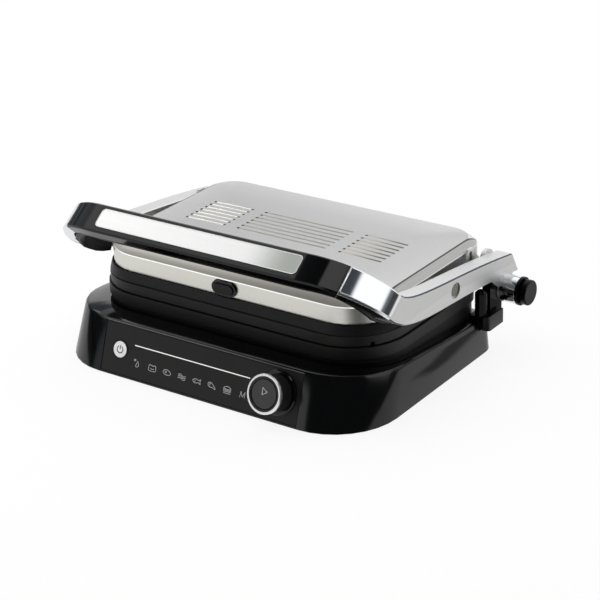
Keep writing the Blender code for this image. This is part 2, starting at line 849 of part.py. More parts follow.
def make_control_panel():
    face = panel_face
    panel = add_piece("control_panel", box_mesh(
        (-panel_half_width, panel_low, -panel_pocket + seat_gap), (panel_half_width, panel_high, face)),
        "coated_black", PANEL)
    holes = bmesh.new()
    add_cylinder(holes, (power_x, power_level, -panel_pocket - overrun), (power_x, power_level, overrun),
                 power_radius + slide_gap)
    add_cylinder(holes, (knob_x, knob_level, -panel_pocket - overrun), (knob_x, knob_level, overrun),
                 encoder_bush_radius + seat_gap, sides=small_sides)
    cut(panel, add_cutter("panel_face_holes", holes, PANEL))
    half = light_width / 2
    slot = box_mesh((light_start - seat_gap, light_level - half - seat_gap, -panel_pocket - overrun),
                    (light_end + seat_gap, light_level + half + seat_gap, overrun))
    cut(panel, add_cutter("light_slot", slot, PANEL))
    add_piece("light_bar", box_mesh(
        (light_start, light_level - half, -panel_pocket + seat_gap),
        (light_end, light_level + half, face)), "light_lens", PANEL)
    add_turned("power_button", [
        (0, power_proud), (power_radius - power_proud, power_proud), (power_radius, 0),
        (power_radius, -power_depth), (0, -power_depth)], (power_x, power_level, 0), (0, 0, 1),
        "white_plastic", PANEL, sides=boss_sides)


def add_on_knob_axis(name, profile, finish, ring=False):
    return add_turned(name, profile, (knob_x, knob_level, 0), (0, 0, 1), finish, PANEL, ring)


def make_knob():
    """A deep knob with a polished ring on its rim and the start button in its well."""
    bush = encoder_bush_radius + seat_gap
    low = panel_face + seat_gap
    high = low + knob_bezel_thickness
    add_on_knob_axis("knob_bezel", [
        (bush, high), (knob_bezel_radius - overrun, high), (knob_bezel_radius, high - overrun),
        (knob_bezel_radius, low), (bush, low)], "gloss_black", ring=True)
    skirt = high + seat_gap
    ring_low = knob_reach - knob_ring_thickness
    rim = ring_low - seat_gap
    well = start_radius + slide_gap
    add_on_knob_axis("selector_knob", [
        (well, rim), (knob_radius, rim), (knob_radius, skirt), (bush, skirt), (bush, knob_floor),
        (well, knob_floor)], "satin_black", ring=True)
    edge = knob_ring_round
    add_on_knob_axis("knob_ring", [
        (knob_ring_bore + edge, knob_reach), (knob_ring_radius - edge, knob_reach),
        (knob_ring_radius, knob_reach - edge), (knob_ring_radius, ring_low + edge),
        (knob_ring_radius - edge, ring_low), (knob_ring_bore, ring_low),
        (knob_ring_bore, knob_reach - edge)], "chrome", ring=True)
    face = knob_reach - start_recess
    foot = knob_floor + start_travel + slide_gap
    add_on_knob_axis("start_button", [
        (0, face), (start_radius - seat_gap, face), (start_radius, face - seat_gap), (start_radius, foot),
        (start_stem_radius, foot), (start_stem_radius, -encoder_depth), (0, -encoder_depth)],
        "gloss_black")


def make_encoder():
    """The knob turns on the encoder's bush, and the start button's stem runs through it."""
    half = encoder_body / 2
    back = -base_wall - seat_gap
    low = back - encoder_depth
    body = add_piece("knob_encoder", box_mesh(
        (knob_x - half, knob_level - half, low), (knob_x + half, knob_level + half, back)),
        "satin_black", PANEL)
    bush = cylinder_mesh((knob_x, knob_level, back - overrun),
                         (knob_x, knob_level, knob_floor - slide_gap), encoder_bush_radius,
                         sides=round_sides)
    fuse(body, add_cutter("encoder_bush", bush, PANEL))
    bore = cylinder_mesh((knob_x, knob_level, low - overrun), (knob_x, knob_level, knob_floor + overrun),
                         start_stem_radius + seat_gap, sides=small_sides)
    cut(body, add_cutter("encoder_bore", bore, PANEL))


def make_boards():
    front = -base_wall - board_gap
    board = add_piece("display_board", box_mesh(
        (board_start, board_low, front - board_thickness), (board_end, board_high, front)), "board_green",
        PANEL)
    bosses = bmesh.new()
    for x in (board_start + board_boss_left, board_end - board_boss_inset):
        for level in (board_low + board_boss_inset, board_high - board_boss_inset):
            add_cylinder(bosses, (x, level, front - board_thickness / 2), (x, level, -base_wall - seat_gap),
                         board_boss_radius, sides=small_sides)
    fuse(board, add_cutter("display_board_bosses", bosses, PANEL))
    half_x, half_y = power_board_length / 2, power_board_width / 2
    low = power_board_height
    mains = add_piece("power_board", box_mesh(
        (-half_x, power_board_y - half_y, low), (half_x, power_board_y + half_y, low + board_thickness)),
        "board_green")
    extras = bmesh.new()
    for x in (board_boss_inset - half_x, half_x - board_boss_inset):
        for y in (power_board_y + board_boss_inset - half_y, power_board_y + half_y - board_boss_inset):
            add_cylinder(extras, (x, y, cover_top + seat_gap), (x, y, low + board_thickness / 2),
                         board_boss_radius, sides=small_sides)
    fuse(mains, add_cutter("power_board_bosses", extras))
    for index in (-1, 0, 1):
        x = index * relay_pitch
        half = relay_size / 2
        relay = box_mesh((x - half, power_board_y - half, low + board_thickness / 2),
                         (x + half, power_board_y + half, relay_top))
        fuse(mains, add_cutter("relay_%d" % (index + 2), relay))


def make_heater_pan():
    def outline(inset):
        return lower_outline(pan_inset + inset)
    rings = [
        level_ring(outline(0), lower_plate_bottom - seat_gap),
        level_ring(outline(0), pan_shoulder_height),
        level_ring(outline(pan_floor_inset), pan_floor_height),
    ]
    pan = shell(add_piece("heater_pan", loft(rings, caps=(False, True)), "satin_black"), pan_wall)
    cut(pan, add_cutter("pan_drain", cylinder_mesh(
        (0, drain_y, pan_floor_height - overrun), (0, drain_y, pan_floor_height + pan_wall + overrun),
        drain_width / 2, sides=small_sides)))


def groove_cutters(name, low, high, frame):
    """Parallel grooves that leave the cooking ribs between them."""
    front = lower_plate_front + groove_end_margin
    shape = bmesh.new()
    count = int(2 * groove_field_half_width / groove_pitch)
    size = Matrix.Diagonal((groove_width, drain_y - front, high - low, 1))
    for index in range(count + 1):
        x = (index - count / 2) * groove_pitch
        place = Matrix.Translation((x, (front + drain_y) / 2, (low + high) / 2))
        bmesh.ops.create_cube(shape, size=1, matrix=place @ size)
    return add_cutter(name, shape, frame)


def make_lower_plate():
    low, high = lower_plate_bottom, lower_plate_top
    plate = add_piece("lower_plate", slab(lower_outline(0), low, high), "coated_black")
    soften(plate, overrun)
    cut(plate, add_cutter("lower_plate_pocket", slab(
        lower_outline(plate_rim), low - overrun, high - plate_web)))
    cut(plate, groove_cutters("lower_grooves", high - groove_depth, high + overrun, GRILL))
    half = drain_width / 2
    channel = box_mesh((-groove_field_half_width, drain_y - half, high - groove_depth - seat_gap),
                       (groove_field_half_width, drain_y + half, high + 2 * overrun))
    cut(plate, add_cutter("lower_channel", channel))
    cut(plate, add_cutter("lower_drain", cylinder_mesh(
        (0, drain_y, low), (0, drain_y, high + overrun), half - overrun, sides=small_sides)))


def make_upper_plate():
    low, high = upper_plate_bottom, upper_plate_top
    plate = add_piece("upper_plate", slab(upper_outline(0), low, high), "coated_black", LID_AXIS)
    soften(plate, overrun)
    cut(plate, add_cutter("upper_plate_pocket", slab(
        upper_outline(plate_rim), low + upper_plate_web, high + overrun), LID_AXIS))
    cut(plate, groove_cutters("upper_grooves", low - overrun, low + groove_depth, LID_AXIS))


def element_path(front, rear, half_width, height):
    """A serpentine of straight legs joined by round bends."""
    pitch = 2 * half_width / (element_legs - 1)
    bend = pitch / 2
    points = []
    for leg in range(element_legs):
        x = -half_width + leg * pitch
        forward = leg % 2 == 0
        if leg == 0:
            points.append((x, rear, height))
        end_y = front + bend if forward else rear - bend
        if leg == element_legs - 1:
            points.append((x, rear, height))
            break
        points.append((x, end_y, height))
        centre = (x + bend, end_y)
        sweep = (math.pi, 2 * math.pi) if forward else (math.pi, 0)
        points += [(u, v, height) for u, v in arc(centre, bend, *sweep, corner_steps)[1:-1]]
    return points


def make_element(name, frame, height, front, rear, half_width):
    curve = poly_curve(element_path(front, rear, half_width, height), False)
    curve.dimensions = "3D"
    curve.bevel_depth = element_radius
    curve.bevel_resolution = 2
    curve.use_fill_caps = True
    return add_piece(name, mesh_of_curve(curve), "heater_steel", frame)


def make_heaters():
    front = lower_plate_front + element_end_margin
    rear = lower_plate_rear - element_end_margin
    half = plate_half_width - element_side_margin
    ceiling = lower_plate_top - plate_web
    make_element("lower_element", GRILL, ceiling - seat_gap - element_radius, front, rear, half)
    floor = upper_plate_bottom + upper_plate_web
    make_element("upper_element", LID_AXIS, floor + seat_gap + element_radius, front, rear, half)
    inset = pan_inset + pan_wall + slide_gap
    high = lower_reflector_height + reflector_thickness
    lower = add_piece("lower_reflector", slab(lower_outline(inset), lower_reflector_height, high),
                      "heater_steel")
    cut(lower, add_cutter("reflector_drain", cylinder_mesh(
        (0, drain_y, lower_reflector_height - overrun), (0, drain_y, high + overrun), drain_width / 2,
        sides=small_sides)))
    low = lid_bezel_bottom + upper_reflector_rise
    add_piece("upper_reflector", slab(bezel_outline(lid_bezel_band + slide_gap), low,
                                      low + reflector_thickness), "heater_steel", LID_AXIS)


def make_clips():
    """Spring clips that hold the cooking plates: two in the pan and two on the bezel."""
    half = clip_width / 2
    inner = pan_inset + pan_wall + seat_gap
    top = lower_plate_bottom - seat_gap
    spots = (("front", lower_plate_front + inner, 1), ("rear", lower_plate_rear - inner, -1))
    for label, y, turn in spots:
        blade = box_mesh((-half, min(y, y + turn * clip_thickness), top - clip_height),
                         (half, max(y, y + turn * clip_thickness), top))
        add_piece("lower_clip_" + label, blade, "heater_steel")
    inner = lid_bezel_band + seat_gap
    spots = (("front", lid_bezel_front + inner, 1), ("rear", lid_bezel_rear - inner, -1))
    low = lid_bezel_bottom + upper_reflector_rise + reflector_thickness + seat_gap
    for label, y, turn in spots:
        top = lid_bezel_top - seat_gap
        blade = box_mesh((-half, min(y, y + turn * clip_thickness), low),
                         (half, max(y, y + turn * clip_thickness), top))
        add_piece("upper_clip_" + label, blade, "heater_steel", LID_AXIS)


def bezel_outline(inset):
    return plate_outline(inset, lid_bezel_half_width, lid_bezel_front, lid_bezel_rear, lid_bezel_corner,
                         plate_rear_corner + lid_bezel_taper)


def make_lid_bezel():
    rings = [
        level_ring(bezel_outline(0), lid_bezel_bottom),
        level_ring(bezel_outline(lid_bezel_taper), lid_bezel_top),
        level_ring(bezel_outline(lid_bezel_band), lid_bezel_top),
        level_ring(bezel_outline(lid_bezel_band), lid_bezel_bottom),
    ]
    add_piece("lid_bezel", loft(rings, closed=True), "satin_black", LID_AXIS)


def lid_outline(inset, bevel):
    """The lid's plan a share of the way over its sloping rim."""
    half = lid_half_width - lid_side_bevel * bevel - inset
    front = lid_front + lid_front_bevel * bevel + inset
    rear = lid_rear - lid_rear_bevel * bevel - inset
    return rounded_outline(half, front, rear, max(lid_corner - inset, overrun),
                           max(lid_rear_corner - inset, overrun))


def make_lid_cover():
    rings = [
        level_ring(lid_outline(0, 0), lid_cover_bottom),
        level_ring(lid_outline(0, 0), lid_fold_height),
        level_ring(lid_outline(0, 1), lid_edge_height),
    ]
    for band, share in zip(lid_crown_bands, lid_crown_shares):
        rings.append(level_ring(lid_outline(band, 1), lid_edge_height + lid_crown * share))
    cover = add_piece("lid_cover", loft(rings, caps=(False, True)), "brushed_steel", LID_AXIS)
    shell(cover, lid_skin)
    vents = bmesh.new()
    spans = ((-vent_side_end, -vent_side_start), (-vent_middle_half_length, vent_middle_half_length),
             (vent_side_start, vent_side_end))
    low = lid_edge_height - lid_skin - 2 * overrun
    high = lid_edge_height + lid_crown + overrun
    for row in range(vent_rows):
        y = vent_first_y + row * vent_pitch
        for start, end in spans:
            size = Matrix.Diagonal((end - start, vent_width, high - low, 1))
            place = Matrix.Translation(((start + end) / 2, y, (low + high) / 2))
            bmesh.ops.create_cube(vents, size=1, matrix=place @ size)
    upright = [edge for edge in vents.edges if (edge.verts[0].co - edge.verts[1].co).z]
    bmesh.ops.bevel(vents, geom=upright, offset=vent_width / 3, segments=1, affect="EDGES")
    cut(cover, add_cutter("vent_slots", vents, LID_AXIS))
    hole = prism_along_y(release_half_width + seat_gap, release_height / 2 + seat_gap,
                         lid_front - overrun, lid_front + lid_skin + overrun)
    cut(cover, add_cutter("release_hole", hole, LID_AXIS))
    pivots = bmesh.new()
    for side in (1, -1):
        add_cylinder(pivots, (side * (lid_half_width - 2 * overrun), pivot_y, pivot_z),
                     (side * (lid_half_width + overrun), pivot_y, pivot_z), pivot_boss_radius + seat_gap,
                     sides=small_sides)
    cut(cover, add_cutter("pivot_openings", pivots, LID_AXIS))


def prism_along_y(half_length, half_height, start, end):
    """A round-ended bar in X and Z about the release button's centre, drawn out along Y."""
    outline = [(u, release_level + v) for u, v in obround_outline(half_length, half_height)]
    return flat_piece(outline, -start, -end, ((1, 0, 0), (0, 0, 1), (0, -1, 0)))


def make_plate_release():
    half_height = release_height / 2
    frame = add_piece("plate_release_frame", prism_along_y(
        release_half_width, half_height, lid_front - release_frame_proud, lid_front + release_frame_depth),
        "gloss_black", LID_AXIS)
    inner_half, inner_height = release_half_width - release_rim, half_height - release_rim
    cut(frame, add_cutter("release_frame_bore", prism_along_y(
        inner_half, inner_height, lid_front - release_frame_proud - overrun,
        lid_front + release_frame_depth + overrun), LID_AXIS))
    button = add_piece("plate_release_button", prism_along_y(
        inner_half - slide_gap, inner_height - slide_gap, lid_front - release_button_proud,
        lid_front - release_button_proud + release_button_depth), "satin_black", LID_AXIS,
        (0, lid_front, release_level))
    soften(button, release_edge)


def make_lid_pivots():
    """Plates with a boss inside the cover, and the screws on which they turn in the arms."""
    plate_high = lid_half_width - lid_skin - seat_gap
    plate_low = plate_high - pivot_plate_thickness
    boss_end = arm_inner - seat_gap
    bore = pivot_radius + seat_gap
    low_y, high_y = pivot_y - pivot_plate_half_length, pivot_y + pivot_plate_half_length
    for side, label in ((1, "right"), (-1, "left")):
        x_low, x_high = sorted((side * plate_low, side * plate_high))
        bracket = add_piece("lid_pivot_" + label, box_mesh(
            (x_low, low_y, lid_cover_bottom), (x_high, high_y, lid_fold_height - lid_skin - seat_gap)),
            "heater_steel", LID_AXIS)
        boss = cylinder_mesh((side * (plate_high - overrun), pivot_y, pivot_z),
                             (side * boss_end, pivot_y, pivot_z), pivot_boss_radius, sides=small_sides)
        fuse(bracket, add_cutter("pivot_boss_" + label, boss, LID_AXIS))
        hole = cylinder_mesh((side * (plate_low - overrun), pivot_y, pivot_z),
                             (side * (boss_end + overrun), pivot_y, pivot_z), bore, sides=small_sides)
        cut(bracket, add_cutter("pivot_bore_" + label, hole, LID_AXIS))
        head_low = arm_half_width - pivot_recess_depth + seat_gap
        head_high = arm_half_width - overrun
        add_turned("lid_pivot_screw_" + label, [
            (0, head_high), (pivot_head_radius - seat_gap, head_high),
            (pivot_head_radius, head_high - seat_gap), (pivot_head_radius, head_low),
            (pivot_radius, head_low), (pivot_radius, plate_low), (0, plate_low)],
            (0, pivot_y, pivot_z), (side, 0, 0), "chrome", ARM_AXIS, sides=small_sides)


def pin_place(angle):
    """The stop pin's centre as seen from the lid after it has tilted by angle."""
    reach = lug_y - pivot_y
    rest = math.atan2(lug_rest_z() - pivot_z, reach)
    radius = math.hypot(reach, lug_rest_z() - pivot_z)
    return pivot_y + radius * math.cos(rest + angle), pivot_z + radius * math.sin(rest + angle)


def lug_rest_z():
    return lug_bottom + lug_wall + slide_gap + stop_pin_radius


def make_tilt_lugs():
    """Gabled lugs on the lid, with a curved slot under the ridge for the arm's stop pin."""
    front, rear = lug_y - lug_foot_front, lug_y + lug_foot_rear
    eaves = lug_bottom + lug_foot_height
    plan = [(front, lug_bottom), (rear, lug_bottom), (rear, eaves), (lug_y + lug_crest_half, lug_top),
            (lug_y - lug_crest_half, lug_top), (front, eaves)]
    slot_radius = stop_pin_radius + slide_gap
    steps = 6
    near, far = [], []
    for step in range(steps + 1):
        y, z = pin_place(tilt_range * step / steps)
        out = Vector((y - pivot_y, z - pivot_z)).normalized()
        near.append((y - out.x * slot_radius, z - out.y * slot_radius))
        far.append((y + out.x * slot_radius, z + out.y * slot_radius))
    for side, label in ((1, "right"), (-1, "left")):
        low = lid_half_width + seat_gap
        x_low, x_high = sorted((side * low, side * (low + lug_thickness)))
        lug = add_piece("tilt_lug_" + label, prism(plan, x_low, x_high), "cast_aluminium", LID_AXIS)
        window = prism(near + far[::-1], x_low - overrun, x_high + overrun)
        cut(lug, add_cutter("tilt_slot_" + label, window, LID_AXIS))
        for name, angle in (("low", 0), ("high", tilt_range)):
            y, z = pin_place(angle)
            end = cylinder_mesh((x_low - overrun, y, z), (x_high + overrun, y, z), slot_radius,
                                sides=small_sides)
            cut(lug, add_cutter("tilt_slot_%s_%s" % (name, label), end, LID_AXIS))


def handle_point(x, depth, drop):
    """A point on the handle: along X, into the bar, and down its sloping face."""
    into = Vector((0, math.sin(handle_slope), -math.cos(handle_slope)))
    down = Vector((0, -math.cos(handle_slope), -math.sin(handle_slope)))
    return Vector((x, handle_edge_y, handle_edge_z)) + into * depth + down * drop


def handle_edges(angle):
    """How far down the face its two long edges lie after the bend has turned by angle."""
    share = (angle / handle_crease_angle) ** handle_drift_power
    return -handle_top_drift * share, handle_width - handle_bottom_drift * share


def handle_section(angle, depths, drops, chamfer, side=1, straight=None):
    """A chamfered section between two depths and two drops, turned with the bend."""
    shallow, deep = depths
    top, bottom = drops
    centre_x = handle_straight if straight is None else straight
    base_x = centre_x + handle_radius * math.sin(angle)
    base_depth_in = handle_radius * (1 - math.cos(angle))
    outline = [(top + chamfer, shallow), (bottom - chamfer, shallow), (bottom, shallow + chamfer),
               (bottom, deep - chamfer), (bottom - chamfer, deep), (top + chamfer, deep),
               (top, deep - chamfer), (top, shallow + chamfer)]
    ring = []
    for drop, inward in outline:
        x = base_x - inward * math.sin(angle)
        ring.append(handle_point(side * x, base_depth_in + inward * math.cos(angle), drop))
    return ring


def bend_angles(end, steps):
    return [end * step / steps for step in range(steps + 1)]


def handle_half(depths, margin, chamfer, end_angle, steps=5):
    """Half a strip, open at the middle plane, from there round one bend."""
    rings = [handle_section(0, depths, (margin, handle_width - margin), chamfer, straight=0)]
    for angle in bend_angles(end_angle, steps):
        top, bottom = handle_edges(angle)
        rings.append(handle_section(angle, depths, (top + margin, bottom - margin), chamfer))
    return loft(rings, caps=(False, True))


def make_handle():
    end = handle_bar_angle - seat_gap / handle_radius
    bar = add_piece("handle_bar", handle_half((0, handle_bar_depth), 0, handle_chamfer, end),
                    "gloss_black", ARM_AXIS)
    recess = inlay_mesh(inlay_half_length + seat_gap, inlay_width / 2 + seat_gap, -overrun, inlay_recess)
    cut(mirror(bar), add_cutter("inlay_recess", recess, ARM_AXIS))
    add_piece("handle_inlay", inlay_mesh(inlay_half_length, inlay_width / 2, -inlay_proud,
                                         inlay_recess - seat_gap), "brushed_steel", ARM_AXIS)
    depths = (handle_bar_depth + seat_gap, under_cover_end_depth)
    mirror(add_piece("handle_under_cover", handle_half(depths, under_cover_margin, under_cover_chamfer, end),
                     "satin_black", ARM_AXIS))


def inlay_mesh(half_length, half_width, top_depth, low_depth):
    quarter = math.pi / 2
    outline = []
    corners = ((half_length - inlay_corner, half_width - inlay_corner, 0),
               (inlay_corner - half_length, half_width - inlay_corner, quarter),
               (inlay_corner - half_length, inlay_corner - half_width, 2 * quarter),
               (half_length - inlay_corner, inlay_corner - half_width, 3 * quarter))
    for x, drop, turn in corners:
        outline += arc((x, drop), inlay_corner, turn, turn + quarter, 4)
    down = (0, -math.cos(handle_slope), -math.sin(handle_slope))
    into = (0, math.sin(handle_slope), -math.cos(handle_slope))
    shape = flat_piece(outline, top_depth, low_depth, ((1, 0, 0), down, into))
    bmesh.ops.translate(shape, verts=shape.verts, vec=handle_point(0, 0, inlay_centre))
    return shape


def bezier(points, t):
    """A point on a cubic curve through its first and last control points."""
    a, b, c, d = points
    s = 1 - t
    return tuple(s ** 3 * a[k] + 3 * s * s * t * b[k] + 3 * s * t * t * c[k] + t ** 3 * d[k]
                 for k in range(2))


def arm_curves():
    """Side profile of an arm: its top edge and its bottom edge from the crease to the rear end."""
    depth = handle_radius * (1 - math.cos(handle_crease_angle))
    top_drop, bottom_drop = handle_edges(handle_crease_angle)
    curves = []
    for drop, end, shares, rises in (
            (top_drop, arm_rear_top, arm_top_bend_share, arm_top_bend_rise),
            (bottom_drop, arm_rear_bottom, arm_bottom_bend_share, arm_bottom_bend_rise)):
        start = handle_point(0, depth, drop)
        span = end[0] - start.y
        bends = [(start.y + span * share, hinge_z + rise) for share, rise in zip(shares, rises)]
        curves.append([(start.y, start.z), *bends, end])
    return curves


def arm_section(t, side, reach, c, margins=(0, 0)):
    """A chamfered upright section behind the crease, between two distances from the middle plane."""
    inner, outer = reach
    top_curve, bottom_curve = arm_curves()
    top, bottom = Vector(bezier(top_curve, t)), Vector(bezier(bottom_curve, t))
    up = (top - bottom).normalized()
    top, bottom = top - up * margins[0], bottom + up * margins[1]
    lean = up * c
    marks = [(outer, top - lean), (outer, bottom + lean), (outer - c, bottom), (inner + c, bottom),
             (inner, bottom + lean), (inner, top - lean), (inner + c, top), (outer - c, top)]
    return [(side * x, spot.x, spot.y) for x, spot in marks]


def arm_bend_steps():
    """Share of the way round the bend, angle and thickness of the arm there."""
    steps = 6
    for step in range(steps + 1):
        share = step / steps
        angle = handle_bar_angle + (handle_crease_angle - handle_bar_angle) * share
        swell = share ** arm_swell_power
        yield share, angle, handle_bar_depth + (arm_thickness - handle_bar_depth) * swell


def arm_rings(side):
    rings = []
    for share, angle, depth in arm_bend_steps():
        rings.append(handle_section(angle, (0, depth), handle_edges(angle), arm_chamfer, side))
    for station in range(1, arm_stations + 1):
        rings.append(arm_section(station / arm_stations, side, (arm_inner, arm_half_width), arm_chamfer))
    return rings


def knuckle_profile():
    """The ear round the hinge pin and the web that joins it to the arm above."""
    quarter = math.pi / 2
    top_curve, bottom_curve = arm_curves()
    front = bezier(bottom_curve, 0.86)
    rear = bezier(bottom_curve, 1)
    lift = arm_thickness / 3
    start = math.radians(160)
    end = math.radians(390)
    ear = arc((hinge_y, hinge_z), hinge_ear_radius, start, end, 2 * arc_steps)
    return [(rear[0] - lift, rear[1] + lift), (front[0], front[1] + lift), (front[0], front[1])] + ear


def along_x(side, start, end, y, z, radius, sides=round_sides):
    """A cylinder across the grill between two distances from the middle plane."""
    return cylinder_mesh((side * start, y, z), (side * end, y, z), radius, sides=sides)


def make_arms():
    for side, label in ((1, "right"), (-1, "left")):
        arm = add_piece("arm_" + label, loft(arm_rings(side)), "cast_aluminium", ARM_AXIS)
        low, high = arm_inner - hinge_ear_step, arm_half_width - hinge_ear_recess
        knuckle = prism(knuckle_profile(), side * low, side * high)
        fuse(arm, add_cutter("knuckle_" + label, knuckle, ARM_AXIS))
        boss = along_x(side, arm_half_width - 2 * overrun, hinge_boss_end, hinge_y, hinge_z,
                       hinge_boss_radius)
        fuse(arm, add_cutter("hinge_boss_" + label, boss, ARM_AXIS))
        seat = along_x(side, arm_inner - spring_boss_thickness, arm_inner + overrun,
                       hinge_y - spring_boss_reach, hinge_z + spring_boss_rise, spring_boss_radius,
                       boss_sides)
        fuse(arm, add_cutter("spring_boss_" + label, seat, ARM_AXIS))
        cut_arm(arm, side, label)


def cut_arm(arm, side, label):
    """The slot for the hinge post, the bores of the hinge and the pivot screw's recess."""
    middle = arm_half_width - post_offset
    half = post_thickness / 2 + slide_gap
    x_low, x_high = sorted((side * (middle - half), side * (middle + half)))
    slot = box_mesh((x_low, hinge_y - hinge_ear_radius - overrun, hinge_z - 3 * post_eye_radius),
                    (x_high, arm_rear_bottom[0] + overrun, post_slot_top))
    cut(arm, add_cutter("post_slot_" + label, slot, ARM_AXIS))
    relief = box_mesh((x_low, post_front - overrun, hinge_z - 3 * post_eye_radius),
                      (x_high, hinge_y - hinge_ear_radius, post_top + overrun))
    cut(arm, add_cutter("post_relief_" + label, relief, ARM_AXIS))
    pin_bore = along_x(side, arm_inner - 2 * overrun, hinge_bore_floor - overrun, hinge_y, hinge_z,
                       hinge_pin_radius + seat_gap, small_sides)
    cut(arm, add_cutter("pin_bore_" + label, pin_bore, ARM_AXIS))
    well = along_x(side, hinge_bore_floor, hinge_boss_end + overrun, hinge_y, hinge_z,
                   hinge_button_stem + slide_gap, boss_sides)
    cut(arm, add_cutter("button_bore_" + label, well, ARM_AXIS))
    recess = along_x(side, arm_half_width - pivot_recess_depth, arm_half_width + overrun, pivot_y, pivot_z,
                     pivot_recess_radius, boss_sides)
    cut(arm, add_cutter("screw_recess_" + label, recess, ARM_AXIS))
    shank = along_x(side, arm_inner - overrun, arm_half_width - overrun, pivot_y, pivot_z,
                    pivot_radius + seat_gap, small_sides)
    cut(arm, add_cutter("screw_hole_" + label, shank, ARM_AXIS))


def make_hinge_pins():
    for side, label in ((1, "right"), (-1, "left")):
        pin = along_x(side, arm_inner, hinge_bore_floor - 2 * overrun, hinge_y, hinge_z, hinge_pin_radius,
                      small_sides)
        add_piece("hinge_pin_" + label, pin, "chrome", ARM_AXIS)
        y, z = pin_place(0)
        stop = along_x(side, lid_half_width + overrun, arm_inner - seat_gap, y, z, stop_pin_radius,
                       small_sides)
        add_piece("tilt_pin_" + label, stop, "chrome", ARM_AXIS)


def make_hinge_buttons():
    """The release button runs in the right boss; a fixed cap of the same shape closes the left one."""
    collar_low = hinge_boss_end + seat_gap
    collar_high = collar_low + hinge_collar_thickness
    cap_low = collar_high + hinge_button_travel + slide_gap
    cap_high = cap_low + hinge_button_cap
    stem_low = hinge_bore_floor + hinge_button_travel + slide_gap
    bore = hinge_button_stem + slide_gap
    edge = hinge_button_edge
    middle = (0, hinge_y, hinge_z)
    for side, label, name in ((1, "right", "hinge_release_button"), (-1, "left", "hinge_end_cap")):
        add_turned("hinge_collar_" + label, [
            (bore, collar_high), (hinge_collar_radius - seat_gap, collar_high),
            (hinge_collar_radius, collar_high - seat_gap), (hinge_collar_radius, collar_low),
            (bore, collar_low)], middle, (side, 0, 0), "satin_black", ARM_AXIS, ring=True)
        add_turned(name, [
            (0, cap_high), (hinge_button_radius - edge, cap_high), (hinge_button_radius, cap_high - edge),
            (hinge_button_radius, cap_low), (hinge_button_stem, cap_low), (hinge_button_stem, stem_low),
            (0, stem_low)], middle, (side, 0, 0), "gloss_black", ARM_AXIS)


def make_arm_liners():
    """Black liners that carry the under cover on round each bend and along the inside of the arm."""
    full = under_cover_end_depth - arm_thickness - seat_gap
    for side, label in ((1, "right"), (-1, "left")):
        rings = []
        for share, angle, depth in arm_bend_steps():
            top, bottom = handle_edges(angle)
            hang = (liner_hang + under_cover_margin) * share - under_cover_margin
            depths = (depth + seat_gap, under_cover_end_depth)
            chamfer = (depths[1] - depths[0]) * liner_chamfer_share
            rings.append(handle_section(angle, depths, (top + under_cover_margin, bottom + hang), chamfer,
                                        side))
        outer = arm_inner - seat_gap
        for station in range(1, liner_stations + 1):
            fade = station / liner_stations
            thickness = full + (liner_end_thickness - full) * fade
            rings.append(arm_section(station / arm_stations, side, (outer - thickness, outer),
                                     thickness * liner_chamfer_share, (liner_arm_margin, -liner_hang)))
        add_piece("arm_liner_" + label, loft(rings), "satin_black", ARM_AXIS)


def make_drip_tray():
    low = cover_top + tray_lift
    high = low + tray_height
    rear = base_depth - seat_gap
    front = rear - tray_length
    tray = add_piece("drip_tray", box_mesh((-tray_half_width, front, low), (tray_half_width, rear, high)),
                     "satin_black", GRILL, (0, rear, low))
    cavity = box_mesh((tray_wall - tray_half_width, front + tray_wall, low + tray_wall),
                      (tray_half_width - tray_wall, rear - tray_face_thickness, high + overrun))
    cut(tray, add_cutter("tray_cavity", cavity))
    grip = box_mesh((-tray_grip_half_width, rear - tray_grip_depth, low - overrun),
                    (tray_grip_half_width, rear + overrun, low + tray_grip_height))
    cut(tray, add_cutter("tray_grip", grip))


def make_cable_gland():
    """The cord's inlet: a flanged sleeve through the rear wall."""
    flange_low = base_depth + seat_gap
    flange_high = flange_low + gland_flange_thickness
    nose = flange_low + gland_reach
    inside = base_depth - base_wall - overrun
    add_turned("cable_gland", [
        (gland_bore, nose), (gland_radius - overrun, nose), (gland_radius, nose - overrun),
        (gland_radius, flange_high), (gland_flange_radius, flange_high), (gland_flange_radius, flange_low),
        (gland_radius, flange_low), (gland_radius, inside), (gland_bore, inside)],
        (gland_x, 0, gland_level), (0, 1, 0), "rubber", ring=True, sides=small_sides)


def build():
    make_base_housing()
    make_hinge_housings()
    make_hinge_posts()
    make_bottom_cover()
    make_feet()
    make_control_panel()
    make_knob()
    make_encoder()
    make_boards()
    make_heater_pan()
    make_lower_plate()
    make_upper_plate()
    make_heaters()
    make_clips()
    make_lid_bezel()
    make_lid_cover()
    make_plate_release()
    make_lid_pivots()
    make_tilt_lugs()
    make_handle()
    make_arms()
    make_hinge_pins()
    make_hinge_buttons()
    make_arm_liners()
    make_drip_tray()
    make_cable_gland()


build()
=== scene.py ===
"""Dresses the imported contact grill: finishes, printed panel, small fittings, and a plain pale studio.

Lengths are in metres, +Z is up, and the front of the grill faces -Y.
"""
import math

import bmesh
import bpy
from bpy.props import FloatProperty, FloatVectorProperty, IntProperty, PointerProperty
from mathutils import Matrix, Vector


